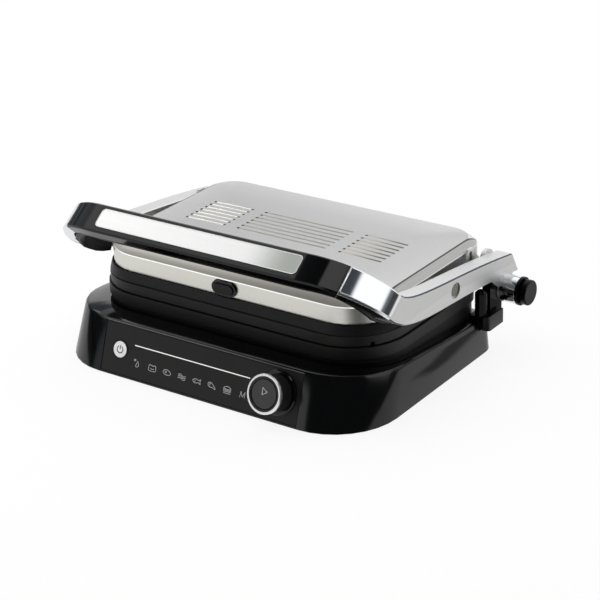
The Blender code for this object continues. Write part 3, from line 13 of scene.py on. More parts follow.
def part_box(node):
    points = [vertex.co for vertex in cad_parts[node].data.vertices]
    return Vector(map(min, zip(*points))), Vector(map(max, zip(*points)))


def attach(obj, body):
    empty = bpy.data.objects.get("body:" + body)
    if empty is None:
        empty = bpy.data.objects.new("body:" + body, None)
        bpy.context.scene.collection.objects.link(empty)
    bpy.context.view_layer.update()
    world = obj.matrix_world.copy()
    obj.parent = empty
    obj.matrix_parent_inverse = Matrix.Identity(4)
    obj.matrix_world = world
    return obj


bl_info = {
    "name": "Contact Grill Dressing",
    "version": (1, 0, 0),
    "blender": (4, 5, 0),
    "location": "3D View > Sidebar > Grill",
    "description": "Finishes, prints and small fittings for a contact grill, with a plain studio",
    "category": "Object",
}

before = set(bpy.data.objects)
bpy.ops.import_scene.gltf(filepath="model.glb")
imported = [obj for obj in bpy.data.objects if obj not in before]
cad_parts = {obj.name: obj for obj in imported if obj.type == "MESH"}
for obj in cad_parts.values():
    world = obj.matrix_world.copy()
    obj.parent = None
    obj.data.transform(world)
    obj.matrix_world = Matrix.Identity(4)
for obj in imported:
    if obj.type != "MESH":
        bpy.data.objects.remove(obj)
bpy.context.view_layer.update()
MM = 0.001


def both(*stems):
    """Names of the left and the right node of each stem."""
    return tuple(f"{stem}_{side}" for stem in stems for side in ("left", "right"))


# Which nodes share a finish
NODES_OF = {
    "base_gloss": ("base_housing",),
    "gloss_black": ("handle_bar", "knob_bezel", "plate_release_frame"),
    "deep_black": ("hinge_release_button", "hinge_end_cap", *both("hinge_post", "hinge_collar")),
    "start_face": ("start_button",),
    "housing_black": both("hinge_housing"),
    "satin_black": ("bottom_cover", "knob_encoder", "selector_knob", "lid_bezel", "plate_release_button",
                    "handle_under_cover", "drip_tray", "heater_pan", *both("arm_liner")),
    "panel_coat": ("control_panel",),
    "plate_coat": ("lower_plate", "upper_plate"),
    "lid_steel": ("lid_cover",),
    "inlay_steel": ("handle_inlay",),
    "arm_metal": both("arm"),
    "cast_metal": both("tilt_lug"),
    "ring_metal": ("knob_ring",),
    "chrome": both("hinge_pin"),
    "screw_metal": both("lid_pivot_screw", "tilt_pin"),
    "power_disc": ("power_button",),
    "light_lens": ("light_bar",),
    "rubber": ("cable_gland", *both("foot_front", "foot_rear")),
    "circuit_board": ("display_board", "power_board"),
    "heater_steel": ("lower_element", "upper_element", "lower_clip_front", "lower_clip_rear",
                     "upper_clip_front", "upper_clip_rear", *both("lid_pivot")),
    "reflector_steel": ("lower_reflector", "upper_reflector"),
}


def length_setting(name, description, default):
    return FloatProperty(name=name, description=description, default=default, unit="LENGTH")


def angle_setting(name, description, degrees):
    return FloatProperty(name=name, description=description, default=math.radians(degrees), subtype="ANGLE")


def number_setting(name, description, default):
    """A brightness, a share, a lens or a power."""
    return FloatProperty(name=name, description=description, default=default)


def colour_setting(name, description, default):
    return FloatVectorProperty(name=name, description=description, size=3, default=default, subtype="COLOR")


class StudioSettings(bpy.types.PropertyGroup):
    """Camera, floor and lamps"""

    camera_turn: angle_setting("Camera Turn", "Camera's angle round the grill", 36.03)
    camera_rise: angle_setting("Camera Rise", "Camera's angle above the worktop", 24.17)
    camera_roll: angle_setting("Camera Roll", "Camera's turn about its own line of sight", -2.314)
    camera_distance: length_setting("Camera Distance", "From the camera to the grill's middle", 1.7982)
    camera_lens: number_setting("Camera Lens", "Focal length in millimetres", 111.6)
    camera_slide: FloatVectorProperty(name="Camera Slide", description="Camera's move to its right and up",
                                      size=2, default=(0.01353, -0.01590), unit="LENGTH")
    target: FloatVectorProperty(name="Target", description="Point that the camera goes round", size=3,
                                default=(0, 0.020119, 0.060), unit="LENGTH")
    floor_size: length_setting("Floor Size", "Width of the floor", 14.0)
    floor_colour: colour_setting("Floor Colour", "Colour of the floor", (0.93, 0.93, 0.93))
    floor_clear: length_setting("Clear Radius", "Where the floor turns to plain white", 0.42)
    floor_lift: number_setting("Shadow Lift", "Share of white laid over the floor's shadows", 0.88)
    floor_reflected: number_setting("Floor Reflected", "Brightness of the floor in metal", 0.88)
    world_strength: number_setting("World Strength", "Even light from all round", 0.45)
    room_dark: number_setting("Room Dark", "Brightness of the room's dark parts in reflections", 0.06)
    room_front: number_setting("Front Box", "Brightness of the low softbox in front", 1.05)
    room_back: number_setting("Room Back", "Brightness of the room in reflections, behind", 1.20)
    box_left: number_setting("Left Box", "Brightness of the softbox up on the left", 1.35)
    box_right: number_setting("Right Box", "Brightness of the softbox on the right", 1.25)
    box_top: number_setting("Top Box", "Brightness of the small overhead box", 1.7)
    top_power: number_setting("Top Lamp", "Power of the lamp overhead, in watts", 14.0)
    side_power: number_setting("Side Lamp", "Power of the lamp on the left, in watts", 9.0)
    rear_power: number_setting("Rear Lamp", "Power of the lamp behind, in watts", 6.0)


class FinishSettings(bpy.types.PropertyGroup):
    """Colours and surface detail of the finishes"""

    black: colour_setting("Black Plastic", "Colour of the black plastics", (0.0016, 0.0016, 0.0015))
    steel: colour_setting("Stainless Steel", "Colour of the brushed lid", (0.70, 0.70, 0.69))
    casting: colour_setting("Cast Metal", "Colour of the arms", (0.84, 0.84, 0.83))
    coating: colour_setting("Plate Coating", "Colour of the non-stick coating", (0.007, 0.007, 0.0062))
    print_colour: colour_setting("Print", "Colour of the panel's pictograms", (0.50, 0.50, 0.54))
    crease: length_setting("Arm Crease", "Where the polished bend meets the satin arm, Y less the crease's "
                           "slope times the height", -220.7 * MM)
    arm_edge: length_setting("Arm Edge", "Where the arm's top edge is cut off, from the middle", 183.8 * MM)
    edge_round: length_setting("Edge Round", "Radius that edges catch the light with", 0.5 * MM)


class PrintSettings(bpy.types.PropertyGroup):
    """Pictograms on the control panel"""

    lean: angle_setting("Panel Lean", "Lean of the panel from upright", 19.7)
    line: length_setting("Line Width", "Width of a pictogram's line", 0.55 * MM)
    proud: length_setting("Print Thickness", "Height of the print above the panel", 0.04 * MM)
    level: length_setting("Pictogram Level", "Height of the row up the panel", 14.6 * MM)
    first: length_setting("First Pictogram", "Place of the first pictogram across the grill", -70.7 * MM)
    pitch: length_setting("Pictogram Pitch", "Distance between pictograms", 17.55 * MM)


class KnobSettings(bpy.types.PropertyGroup):
    """Marks on the power button, the start button, the selector and the light bar"""

    power_disc: length_setting("White Disc", "Radius of the power button's white disc", 7.7 * MM)
    sign_radius: length_setting("Sign Radius", "Radius of the power sign", 3.4 * MM)
    sign_line: length_setting("Sign Line", "Line width of the power sign", 0.95 * MM)
    ring_bore: length_setting("Bright Ring", "Inner radius of the selector's bright ring", 16.1 * MM)
    start_size: length_setting("Start Sign", "Half the height of the start triangle", 3.2 * MM)
    start_line: length_setting("Start Line", "Line width of the start triangle", 0.75 * MM)
    light_line: length_setting("Light Line", "Width of the lit line", 0.9 * MM)


class HandleSettings(bpy.types.PropertyGroup):
    """Bright rim round the handle's inlay and beads along its bends"""

    slope: angle_setting("Handle Slope", "Angle of the handle's face from level", 37.0)
    rim: length_setting("Rim Width", "Width of the rim round the inlay", 0.8 * MM)
    rim_proud: length_setting("Rim Height", "Height of the rim over the inlay", 0.12 * MM)
    corner: length_setting("Inlay Corner", "Corner radius of the inlay", 4 * MM)
    straight: length_setting("Straight Half", "Half the length of the bar's straight part", 115 * MM)
    bend_radius: length_setting("Bend Radius", "Radius of the bend's outer face", 70.9 * MM)
    bend_end: angle_setting("Bend End", "Angle round the bend of the arm's crease", 78.5)
    bead: length_setting("Bead Width", "Width of the bead along the bend's edge", 1.1 * MM)
    bead_proud: length_setting("Bead Height", "Height of the bead over the bend", 0.3 * MM)


class VentSettings(bpy.types.PropertyGroup):
    """Light strips in the lid's slots and the dark holes at their ends"""

    rows: IntProperty(name="Rows", description="Slots one behind the other", default=7)
    pitch: length_setting("Pitch", "Distance between slots", 7.7 * MM)
    first: length_setting("First Row", "From the lid's front edge to the first slot", 90 * MM)
    width: length_setting("Strip Width", "Width of a strip", 2.5 * MM)
    side_start: length_setting("Side Start", "Where an outer slot starts, from the middle", 67 * MM)
    side_end: length_setting("Side End", "Where an outer slot ends, from the middle", 114 * MM)
    middle: length_setting("Middle Half", "Half the length of a middle slot", 51.6 * MM)
    sunk: length_setting("Sunk", "Depth of a strip under the lid's surface", 0.14 * MM)
    thickness: length_setting("Thickness", "Thickness of a strip", 0.5 * MM)
    crown: length_setting("Crown", "How far a strip's edges lie under its middle", 0.08 * MM)
    end_gap: length_setting("End Gap", "From the end of a slot to its strip", 1 * MM)
    hole_radius: length_setting("Hole Radius", "Radius of the hole at a slot's end", 1.45 * MM)
    hole_inset: length_setting("Hole Inset", "From the end of a slot to the middle of its hole", 0.5 * MM)


class ScrewSettings(bpy.types.PropertyGroup):
    """Screws in the bottom cover"""

    head_radius: length_setting("Head Radius", "Radius of a screw head", 3.2 * MM)
    head_height: length_setting("Head Height", "Height of a screw head", 0.6 * MM)
    rows: IntProperty(name="Rows", description="Rows of screws, front to rear", default=2, min=2)
    columns: IntProperty(name="Columns", description="Screws across the cover", default=3)
    spread: length_setting("Spread", "Distance between screws across", 112 * MM)
    margin: length_setting("Margin", "From the cover's front and rear edges to its screws", 22 * MM)


class Value:
    """A number socket of a node tree; arithmetic on it adds Math nodes."""

    def __init__(self, nodes, socket):
        self.nodes = nodes
        self.socket = socket

    def math(self, operation, *terms):
        node = self.nodes.add("ShaderNodeMath", {"operation": operation}, dict(enumerate(terms)))
        return Value(self.nodes, node.outputs[0])

    def __add__(self, other):
        return self.math("ADD", self, other)

    __radd__ = __add__

    def __mul__(self, other):
        return self.math("MULTIPLY", self, other)

    __rmul__ = __mul__

    def __sub__(self, other):
        return self.math("SUBTRACT", self, other)

    def __rsub__(self, other):
        return self.math("SUBTRACT", other, self)

    def __truediv__(self, other):
        return self.math("DIVIDE", self, other)

    def __abs__(self):
        return self.math("ABSOLUTE", self)

    def larger(self, other):
        return self.math("MAXIMUM", self, other)

    def over(self, edge, blur):
        """0 below the edge and 1 above it, with a soft step as wide as blur."""
        node = self.nodes.add("ShaderNodeMapRange", {"interpolation_type": "SMOOTHSTEP"},
                              {0: self, 1: edge - blur / 2, 2: edge + blur / 2})
        return Value(self.nodes, node.outputs[0])

    def under(self, edge, blur):
        """1 below the edge and 0 above it."""
        return 1 - self.over(edge, blur)

    def faded(self, edge, blur, least):
        """A smaller share below the edge and 1 above it."""
        return least + self.over(edge, blur) * (1 - least)

    def near(self, place, half, blur):
        """1 within half of a place, falling to 0 with a soft step as wide as blur."""
        return abs(self - place).under(half, blur)


class Nodes:
    """Adds nodes to a tree; a value may be a number, a colour, a socket or a Value."""

    def __init__(self, tree):
        self.tree = tree

    def add(self, kind, settings=None, values=None):
        node = self.tree.nodes.new(kind)
        for name, value in (settings or {}).items():
            setattr(node, name, value)
        for name, value in (values or {}).items():
            self.feed(node.inputs[name], value)
        return node

    def feed(self, socket, value):
        if isinstance(value, Value):
            value = value.socket
        if isinstance(value, bpy.types.NodeSocket):
            self.tree.links.new(value, socket)
        else:
            socket.default_value = value

    def parts(self, vector):
        node = self.add("ShaderNodeSeparateXYZ", None, {0: vector})
        return [Value(self, socket) for socket in node.outputs]

    def mix(self, one, two, share):
        return self.add("ShaderNodeMix", {"data_type": "RGBA"}, {0: share, 6: one, 7: two}).outputs[2]


def rgba(colour, gain=1.0):
    return (*[part * gain for part in colour], 1)


class Finish(Nodes):
    """A material built round one principled shader."""

    def __init__(self, name, colour, roughness, metallic=0.0):
        self.material = bpy.data.materials.new(name)
        self.material.use_nodes = True
        super().__init__(self.material.node_tree)
        self.shader = self.tree.nodes["Principled BSDF"]
        self.set("Base Color", rgba(colour))
        self.set("Roughness", roughness)
        self.set("Metallic", metallic)
        self.where = self.add("ShaderNodeTexCoord").outputs["Object"]

    def set(self, name, value):
        self.feed(self.shader.inputs[name], value)

    def noise(self, scale, detail=2.0, rough=0.5):
        """Noise of one scale, or stretched by a scale along each axis."""
        vector, size = self.where, scale
        if isinstance(scale, tuple):
            vector = self.add("ShaderNodeMapping", None, {"Vector": self.where, "Scale": scale}).outputs[0]
            size = 1.0
        node = self.add("ShaderNodeTexNoise", None,
                        {"Vector": vector, "Scale": size, "Detail": detail, "Roughness": rough})
        return Value(self, node.outputs[0])

    def axes(self):
        return self.parts(self.where)

    def across(self):
        return self.axes()[0]

    def climb(self, plane):
        """Distance up the panel's slope from its lower edge."""
        deep, up = self.axes()[1:]
        return deep * plane.up.y + up * plane.up.z - plane.start.dot(plane.up)

    def within(self, plane, node, radius, blur=0.15 * MM):
        """1 within a radius of a node's middle, measured along the panel."""
        middle_x, middle_v = plane.middle(node)
        away = self.across() - middle_x
        level = self.climb(plane) - middle_v
        return (away * away + level * level).under(radius ** 2, 2 * radius * blur)

    def shade(self, colour, darkest, lightest, share):
        """Vary the base colour between two gains of one colour."""
        self.set("Base Color", self.mix(rgba(colour, darkest), rgba(colour, lightest), share))

    def tint(self, colour, share):
        """Lay a colour over the base colour by a share."""
        under = self.shader.inputs["Base Color"].links[0].from_socket
        self.set("Base Color", self.mix(under, colour, share))

    def relief(self, height, distance, edge=0.0):
        """Bump from a height, over edges that are softened by a small radius."""
        values = {"Height": height, "Distance": distance, "Strength": 1.0}
        if edge:
            values["Normal"] = self.add("ShaderNodeBevel", {"samples": 4}, {"Radius": edge}).outputs[0]
        self.set("Normal", self.add("ShaderNodeBump", None, values).outputs[0])


def gloss_black(name, look, roughness=0.07, depth=1.0, shine=0.42):
    """Moulded gloss plastic with faint waviness and handling haze."""
    finish = Finish(name, look.black, roughness)
    finish.set("Specular IOR Level", shine)
    haze = finish.noise(38, detail=4, rough=0.6)
    fine = finish.noise(1400)
    wave = finish.noise(55)
    finish.set("Roughness", roughness + haze * 0.05 + fine * 0.03)
    finish.shade(look.black, 0.85 * depth, 1.25 * depth, haze)
    finish.relief(wave * 0.35 + fine * 0.02, 0.02 * MM, look.edge_round)
    return finish


def base_gloss(look):
    """Gloss housing with a painted highlight: a thin pale line along the deck's front edge, above the panel.
    """
    highlight_gap, highlight_half, highlight_depth = 0.8 * MM, 0.35 * MM, 3 * MM
    finish = gloss_black("base_gloss_plastic", look)
    plane = PanelPlane()
    low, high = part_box("control_panel")
    across, deep = finish.axes()[:2]
    # Painted highlight: a thin pale line where the deck's rounded front edge catches the light
    highlight = finish.climb(plane).near(plane.height + highlight_gap, highlight_half, blur=0.2 * MM)
    front = deep.under(low.y + plane.height * plane.up.y + highlight_depth, blur=0.5 * MM)
    finish.tint((0.14, 0.14, 0.135, 1), highlight * front * abs(across).under(high.x, blur=2 * MM))
    return finish


def satin_black(name, look, roughness=0.42):
    """Spark-eroded plastic."""
    finish = Finish(name, look.black, roughness)
    finish.set("Specular IOR Level", 0.28)
    grain = finish.noise(2600, detail=3, rough=0.6)
    cloud = finish.noise(30, detail=3)
    finish.set("Roughness", roughness + grain * 0.12 - cloud * 0.06)
    finish.shade(look.black, 3.0, 6.5, grain)
    finish.relief(grain, 0.05 * MM, look.edge_round)
    return finish


def housing_black(look):
    """Satin hinge housing, paler on its outer side where the light falls."""
    finish = gloss_black("hinge_housing_plastic", look, roughness=0.16, shine=0.14)
    outer_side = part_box("hinge_housing_right")[1].x - MM
    finish.tint((0.060, 0.060, 0.058, 1), abs(finish.across()).over(outer_side, blur=MM))
    return finish


def coated(name, look, grain_scale=1800, depth=0.03 * MM):
    """Sprayed non-stick coating with a fine orange peel."""
    finish = Finish(name, look.coating, 0.45)
    finish.set("Specular IOR Level", 0.35)
    grain = finish.noise(grain_scale, detail=3, rough=0.6)
    cloud = finish.noise(24, detail=3)
    finish.set("Roughness", 0.36 + grain * 0.16 + cloud * 0.08)
    finish.shade(look.coating, 0.8, 1.5, grain)
    finish.relief(grain, depth, look.edge_round)
    return finish


def panel_coat(look):
    """Printed panel with a darker line round its edge."""
    side_line, end_line, blur = 0.8 * MM, 0.9 * MM, 0.3 * MM
    finish = coated("panel_coating", look, 2400, 0.012 * MM)
    low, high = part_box("control_panel")
    up = finish.axes()[2]
    inner = abs(finish.across()).under(high.x - side_line, blur)
    inner = inner * up.over(low.z + end_line, blur) * up.under(high.z - end_line, blur)
    finish.tint((0.003, 0.003, 0.003, 1), 1 - inner)
    return finish


def brushed(name, look, colour, contrast=1.0, turned=None):
    """Steel brushed across the grill, or front to rear where the share that turned makes is 1."""
    fine, long = 2600, 14
    finish = Finish(name, colour, 0.3, metallic=1.0)
    lines = finish.noise((long, fine, fine), detail=3, rough=0.65)
    if turned:
        share = turned(finish)
        lines = lines * (1 - share) + finish.noise((fine, long, fine), detail=3, rough=0.65) * share
    broad = finish.noise((3, 430, 430))
    sand = finish.noise(700, detail=4, rough=0.7)
    scratches = lines * 0.6 + sand * 0.4
    finish.shade(colour, 1 - 0.20 * contrast, 1 + 0.14 * contrast, scratches)
    finish.set("Roughness", 0.24 + lines * 0.12 + broad * 0.08)
    finish.relief(scratches, 0.008 * MM, look.edge_round)
    return finish


def lid_steel(look):
    """Brushed lid, cross brushed on the side bevels, with painted shade and reflection: darker side bevels
    and a beige front bevel.
    """
    low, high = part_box("lid_cover")
    side_edge = high.x - 7.6 * MM
    front_depth = 16 * MM
    front_edge = low.y + front_depth
    band_top = high.z - 9.6 * MM
    glint_level = high.z - 9.9 * MM
    line_half, line_blur = 0.35 * MM, 0.3 * MM
    crease_shade_half, crease_shade_blur = 0.8 * MM, 0.9 * MM
    crease_shade_start, crease_shade_fade = -29 * MM, 20 * MM

    def sides(finish):
        return abs(finish.across()).over(side_edge, blur=0.4 * MM)

    finish = brushed("brushed_lid_steel", look, look.steel, turned=sides)
    across, along, up = finish.axes()
    side = sides(finish)
    front = along.under(front_edge, blur=0.4 * MM)
    above = up.over(band_top, blur=0.5 * MM)

    # Painted shade: the top is a little darker toward the left, and the side bevels, streaked across by their
    # brushing, are painted darker
    finish.tint(rgba(look.steel, 0.84), across.under(0.0, blur=0.28) * above)
    streaks = finish.noise((2600, 10, 30), detail=3, rough=0.7)
    finish.tint(finish.mix(rgba(look.steel, 0.30), rgba(look.steel, 0.80), streaks), side * above)

    # Painted reflection and shade on the front bevel: pale at its top, darker at its foot and toward the
    # right
    rise = (along - low.y) / front_depth
    far = across.over(0.02, blur=0.24)
    lower = finish.mix((0.25, 0.245, 0.22, 1), (0.15, 0.148, 0.135, 1), far)
    upper = finish.mix((0.60, 0.59, 0.54, 1), (0.24, 0.235, 0.21, 1), far)
    finish.tint(finish.mix(lower, upper, rise.over(0.55, blur=0.9)), front * above * (1 - side))

    # Painted light on the front wall: a paler, warmer tone, and a painted glint along its top edge
    finish.tint((0.77, 0.765, 0.71, 1), front * (1 - above))
    finish.tint((1.0, 0.99, 0.95, 1), front * up.near(glint_level, line_half, line_blur))

    # Painted shade: a dark line along the crease where the side bevels start; painted highlight: a bright one
    # where the front bevel ends
    crease_shade = abs(across).near(side_edge - crease_shade_half / 2, crease_shade_half, crease_shade_blur)
    finish.tint((0.05, 0.05, 0.05, 1), crease_shade * along.over(crease_shade_start, crease_shade_fade) * above)
    finish.tint((0.90, 0.90, 0.87, 1), along.near(front_edge, line_half, line_blur) * above * (1 - side))
    return finish


def inlay_steel(look):
    """Bright inlay, with painted shade that darkens it toward its right end."""
    finish = brushed("brushed_inlay_steel", look, (0.97, 0.97, 0.955), contrast=0.25)
    shade_place, shade_blur = 78 * MM, 50 * MM
    # Painted shade darkening the inlay toward its right end
    finish.tint((0.46, 0.48, 0.44, 1), finish.across().over(shade_place, shade_blur))
    return finish


def chrome(name, colour=(0.78, 0.78, 0.79), roughness=0.06):
    """Polished plating with a slight haze."""
    finish = Finish(name, colour, roughness, metallic=1.0)
    haze = finish.noise(240, detail=3)
    finish.set("Roughness", roughness + haze * 0.05)
    finish.shade(colour, 0.94, 1.04, haze)
    finish.relief(haze, 0.004 * MM, 0.3 * MM)
    return finish


def ring_metal():
    """Selector ring: a bright outer rim round a dark inner collar."""
    finish = chrome("selector_ring_metal", (0.95, 0.95, 0.94), 0.30)
    inner = finish.within(PanelPlane(), "knob_ring", bpy.context.scene.grill_knobs.ring_bore)
    finish.tint((0.004, 0.004, 0.004, 1), inner)
    finish.set("Metallic", 1 - inner)
    return finish


def cast_metal(name, look, roughness=0.34):
    """Satin casting with a fine grain."""
    finish = Finish(name, look.casting, roughness, metallic=1.0)
    grain = finish.noise(1900, detail=3, rough=0.6)
    finish.set("Roughness", roughness + grain * 0.10)
    finish.shade(look.casting, 0.86, 1.08, grain)
    finish.relief(grain, 0.02 * MM, look.edge_round)
    return finish


def arm_metal(look):
    """Cast arm: polished round the bend to the bar, satin behind the crease, bright at the hinge boss."""
    crease_slope = 1.327
    boss_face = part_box("arm_right")[1].x - 16.2 * MM
    edge_level, edge_knee, edge_fall = 92 * MM, 16 * MM, 0.12
    edge_half = 0.6 * MM
    finish = Finish("arm_metal", look.casting, 0.3, metallic=1.0)
    across, along, up = finish.axes()
    behind = (along - up * crease_slope).over(look.crease, blur=0.5 * MM)
    satin = behind * abs(across).under(boss_face, blur=0.3 * MM)
    brushing = finish.noise((2200, 30, 2200), detail=3, rough=0.6)
    grain = finish.noise(1900, detail=3, rough=0.6)
    finish.set("Roughness", 0.09 + satin * (0.31 + brushing * 0.10))
    dull = finish.mix(rgba(look.casting, 0.80), rgba(look.casting, 1.04), brushing)
    finish.set("Base Color", finish.mix((0.80, 0.81, 0.83, 1), dull, satin))

    # Painted reflection: the cut-off top edge is painted dark, as its polished chamfer mirrors the dark room;
    # the edge falls away to the rear past its knee
    edge = edge_level - (along - edge_knee).larger(0.0) * edge_fall
    chamfer = abs(across).near(look.arm_edge, edge_half, blur=0.3 * MM) * (up - edge).over(0.0, blur=0.4 * MM)
    finish.tint((0.065, 0.08, 0.10, 1), chamfer * satin)
    finish.relief(brushing * satin + grain * 0.15, 0.010 * MM, look.edge_round)
    return finish


def power_disc():
    """White button with a dark rim."""
    finish = Finish("power_button_plastic", (0.80, 0.80, 0.79), 0.32)
    grain = finish.noise(1500, detail=3)
    finish.set("Roughness", 0.28 + grain * 0.10)
    finish.set("Base Color", finish.mix((0.86, 0.86, 0.85, 1), (0.92, 0.92, 0.91, 1), grain))
    disc = finish.within(PanelPlane(), "power_button", bpy.context.scene.grill_knobs.power_disc)
    finish.tint((0.012, 0.012, 0.012, 1), 1 - disc)
    finish.relief(grain, 0.01 * MM, 0.3 * MM)
    return finish


def light_lens():
    """Lit line along the middle of its dark lens."""
    finish = Finish("light_lens", (0.85, 0.86, 0.86), 0.25)
    plane = PanelPlane()
    half = bpy.context.scene.grill_knobs.light_line / 2
    lit = finish.climb(plane).near(plane.middle("light_bar")[1], half, blur=0.2 * MM)
    grain = finish.noise(900)
    finish.set("Roughness", 0.2 + grain * 0.1)
    finish.set("Base Color", finish.mix((0.012, 0.012, 0.012, 1), (0.82, 0.82, 0.80, 1), lit))
    finish.set("Emission Color", finish.mix((0, 0, 0, 1), (0.9, 0.9, 0.86, 1), lit))
    finish.set("Emission Strength", 0.35)
    return finish


def rubber():
    """Feet and gland: dull black with a coarse grain."""
    finish = Finish("black_rubber", (0.020, 0.020, 0.020), 0.75)
    grain = finish.noise(1300, detail=4, rough=0.7)
    finish.set("Roughness", 0.68 + grain * 0.2)
    finish.set("Base Color", finish.mix((0.014, 0.014, 0.014, 1), (0.034, 0.034, 0.033, 1), grain))
    finish.relief(grain, 0.05 * MM, 0.4 * MM)
    return finish


def circuit_board():
    """Green board with lighter tracks."""
    finish = Finish("circuit_board", (0.015, 0.12, 0.05), 0.4)
    tracks = finish.noise((260, 900, 900), detail=1).over(0.55, blur=0.02)
    finish.set("Base Color", finish.mix((0.012, 0.11, 0.045, 1), (0.03, 0.22, 0.09, 1), tracks))
    finish.set("Roughness", 0.34 + tracks * 0.1)
    finish.relief(tracks, 0.03 * MM)
    return finish


def heater_steel(name, colour=(0.36, 0.35, 0.34), roughness=0.36):
    """Plain steel with a straw tint from the heat."""
    finish = Finish(name, colour, roughness, metallic=1.0)
    straw = finish.noise(60, detail=4, rough=0.6)
    grain = finish.noise(1800, detail=3)
    finish.set("Base Color", finish.mix(rgba(colour, 0.75), (0.46, 0.42, 0.36, 1), straw))
    finish.set("Roughness", roughness + straw * 0.1 + grain * 0.08)
    finish.relief(grain, 0.02 * MM, 0.3 * MM)
    return finish


def paint(name, colour, roughness=0.5):
    """Printed or painted surface with a fine speckle."""
    finish = Finish(name, colour, roughness)
    grain = finish.noise(3000)
    finish.set("Roughness", roughness + grain * 0.1)
    finish.shade(colour, 0.85, 1.1, grain)
    return finish


def strip_paint(name, start, end, left, right):
    """Strip in a slot: one colour at its left end and another at its right; where they differ, the change is
    painted shade.
    """
    finish = Finish(name, left, 0.5)
    share = ((finish.across() - start) / (end - start)).over(0.5, blur=0.9)
    grain = finish.noise(1200, detail=3)
    finish.set("Base Color", finish.mix(rgba(left), rgba(right), share))
    finish.set("Roughness", 0.45 + grain * 0.2)
    finish.relief(grain, 0.01 * MM)
    return finish


# Every maker is given the finish settings, also where it has its own colours
FINISH_MAKERS = {
    "base_gloss": base_gloss,
    "gloss_black": lambda look: gloss_black("gloss_black_plastic", look, roughness=0.05, shine=0.34),
    "deep_black": lambda look: gloss_black("deep_black_plastic", look, roughness=0.14, depth=0.4, shine=0.12),
    "start_face": lambda look: gloss_black("start_button_gloss", look, roughness=0.10, shine=0.6),
    "housing_black": housing_black,
    "satin_black": lambda look: satin_black("satin_black_plastic", look),
    "panel_coat": panel_coat,
    "plate_coat": lambda look: coated("plate_coating", look),
    "lid_steel": lid_steel,
    "inlay_steel": inlay_steel,
    "arm_metal": arm_metal,
    "cast_metal": lambda look: cast_metal("cast_lug_metal", look),
    "ring_metal": lambda look: ring_metal(),
    "chrome": lambda look: chrome("chromed_metal"),
    # The dark beige is partly painted shade, from the recesses the lid's pivot screws sit in
    "screw_metal": lambda look: chrome("screw_metal", (0.20, 0.19, 0.16), 0.30),
    "power_disc": lambda look: power_disc(),
    "light_lens": lambda look: light_lens(),
    "rubber": lambda look: rubber(),
    "circuit_board": lambda look: circuit_board(),
    "heater_steel": lambda look: heater_steel("heater_steel"),
    "reflector_steel": lambda look: heater_steel("reflector_steel", (0.55, 0.55, 0.54), 0.25),
}


def dress(*names):
    """Give the nodes of each named finish their material."""
    for name in names:
        material = FINISH_MAKERS[name](bpy.context.scene.grill_finish).material
        for node in NODES_OF[name]:
            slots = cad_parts[node].data.materials
            for index in range(len(slots)):
                slots[index] = material
            if not len(slots):
                slots.append(material)


def smoothing_tree():
    """Welds a node's loose triangles and shades them smooth up to an angle between faces."""
    weld_gap = 0.004 * MM
    tree = bpy.data.node_groups.new("smooth_to_angle", "GeometryNodeTree")
    tree.interface.new_socket("Geometry", in_out="INPUT", socket_type="NodeSocketGeometry")
    angle = tree.interface.new_socket("Angle", in_out="INPUT", socket_type="NodeSocketFloat")
    angle.subtype = "ANGLE"
    tree.interface.new_socket("Geometry", in_out="OUTPUT", socket_type="NodeSocketGeometry")
    nodes = Nodes(tree)
    given = nodes.add("NodeGroupInput")
    weld = nodes.add("GeometryNodeMergeByDistance", None,
                     {"Geometry": given.outputs[0], "Distance": weld_gap})
    plain = nodes.add("GeometryNodeRemoveAttribute", None,
                      {"Geometry": weld.outputs[0], "Name": "custom_normal"})
    faces = nodes.add("GeometryNodeSetShadeSmooth", {"domain": "FACE"},
                      {"Geometry": plain.outputs[0], "Shade Smooth": True})
    turn = nodes.add("GeometryNodeInputMeshEdgeAngle")
    sharp = nodes.add("FunctionNodeCompare", {"operation": "GREATER_THAN"},
                      {0: turn.outputs[0], 1: given.outputs[1]})
    edges = nodes.add("GeometryNodeSetShadeSmooth", {"domain": "EDGE"},
                      {"Geometry": faces.outputs[0], "Selection": sharp.outputs[0], "Shade Smooth": False})
    nodes.feed(nodes.add("NodeGroupOutput").inputs[0], edges.outputs[0])
    return tree


def smooth_nodes(usual, own):
    """Smooth every node to the usual angle in degrees, or to its own where it has one."""
    tree = smoothing_tree()
    socket = next(item for item in tree.interface.items_tree if item.name == "Angle").identifier
    for name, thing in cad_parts.items():
        modifier = thing.modifiers.new("smooth", "NODES")
        modifier.node_group = tree
        modifier[socket] = math.radians(own.get(name, usual))


def repeating_tree():
    """Copies a mesh in rows and columns and gives the copies one material."""
    tree = bpy.data.node_groups.new("repeat_in_grid", "GeometryNodeTree")
    for name, kind in (("Geometry", "Geometry"), ("Rows", "Int"), ("Row Step", "Vector"), ("Columns", "Int"),
                       ("Column Step", "Vector"), ("Material", "Material")):
        tree.interface.new_socket(name, in_out="INPUT", socket_type="NodeSocket" + kind)
    tree.interface.new_socket("Geometry", in_out="OUTPUT", socket_type="NodeSocketGeometry")
    nodes = Nodes(tree)
    given = nodes.add("NodeGroupInput").outputs
    made = given["Geometry"]
    for count, step in (("Rows", "Row Step"), ("Columns", "Column Step")):
        line = nodes.add("GeometryNodeMeshLine", {"mode": "OFFSET"},
                         {"Count": given[count], "Offset": given[step]})
        copies = nodes.add("GeometryNodeInstanceOnPoints", None,
                           {"Points": line.outputs[0], "Instance": made})
        made = nodes.add("GeometryNodeRealizeInstances", None, {0: copies.outputs[0]}).outputs[0]
    painted = nodes.add("GeometryNodeSetMaterial", None, {"Geometry": made, "Material": given["Material"]})
    nodes.feed(nodes.add("NodeGroupOutput").inputs[0], painted.outputs[0])
    return tree


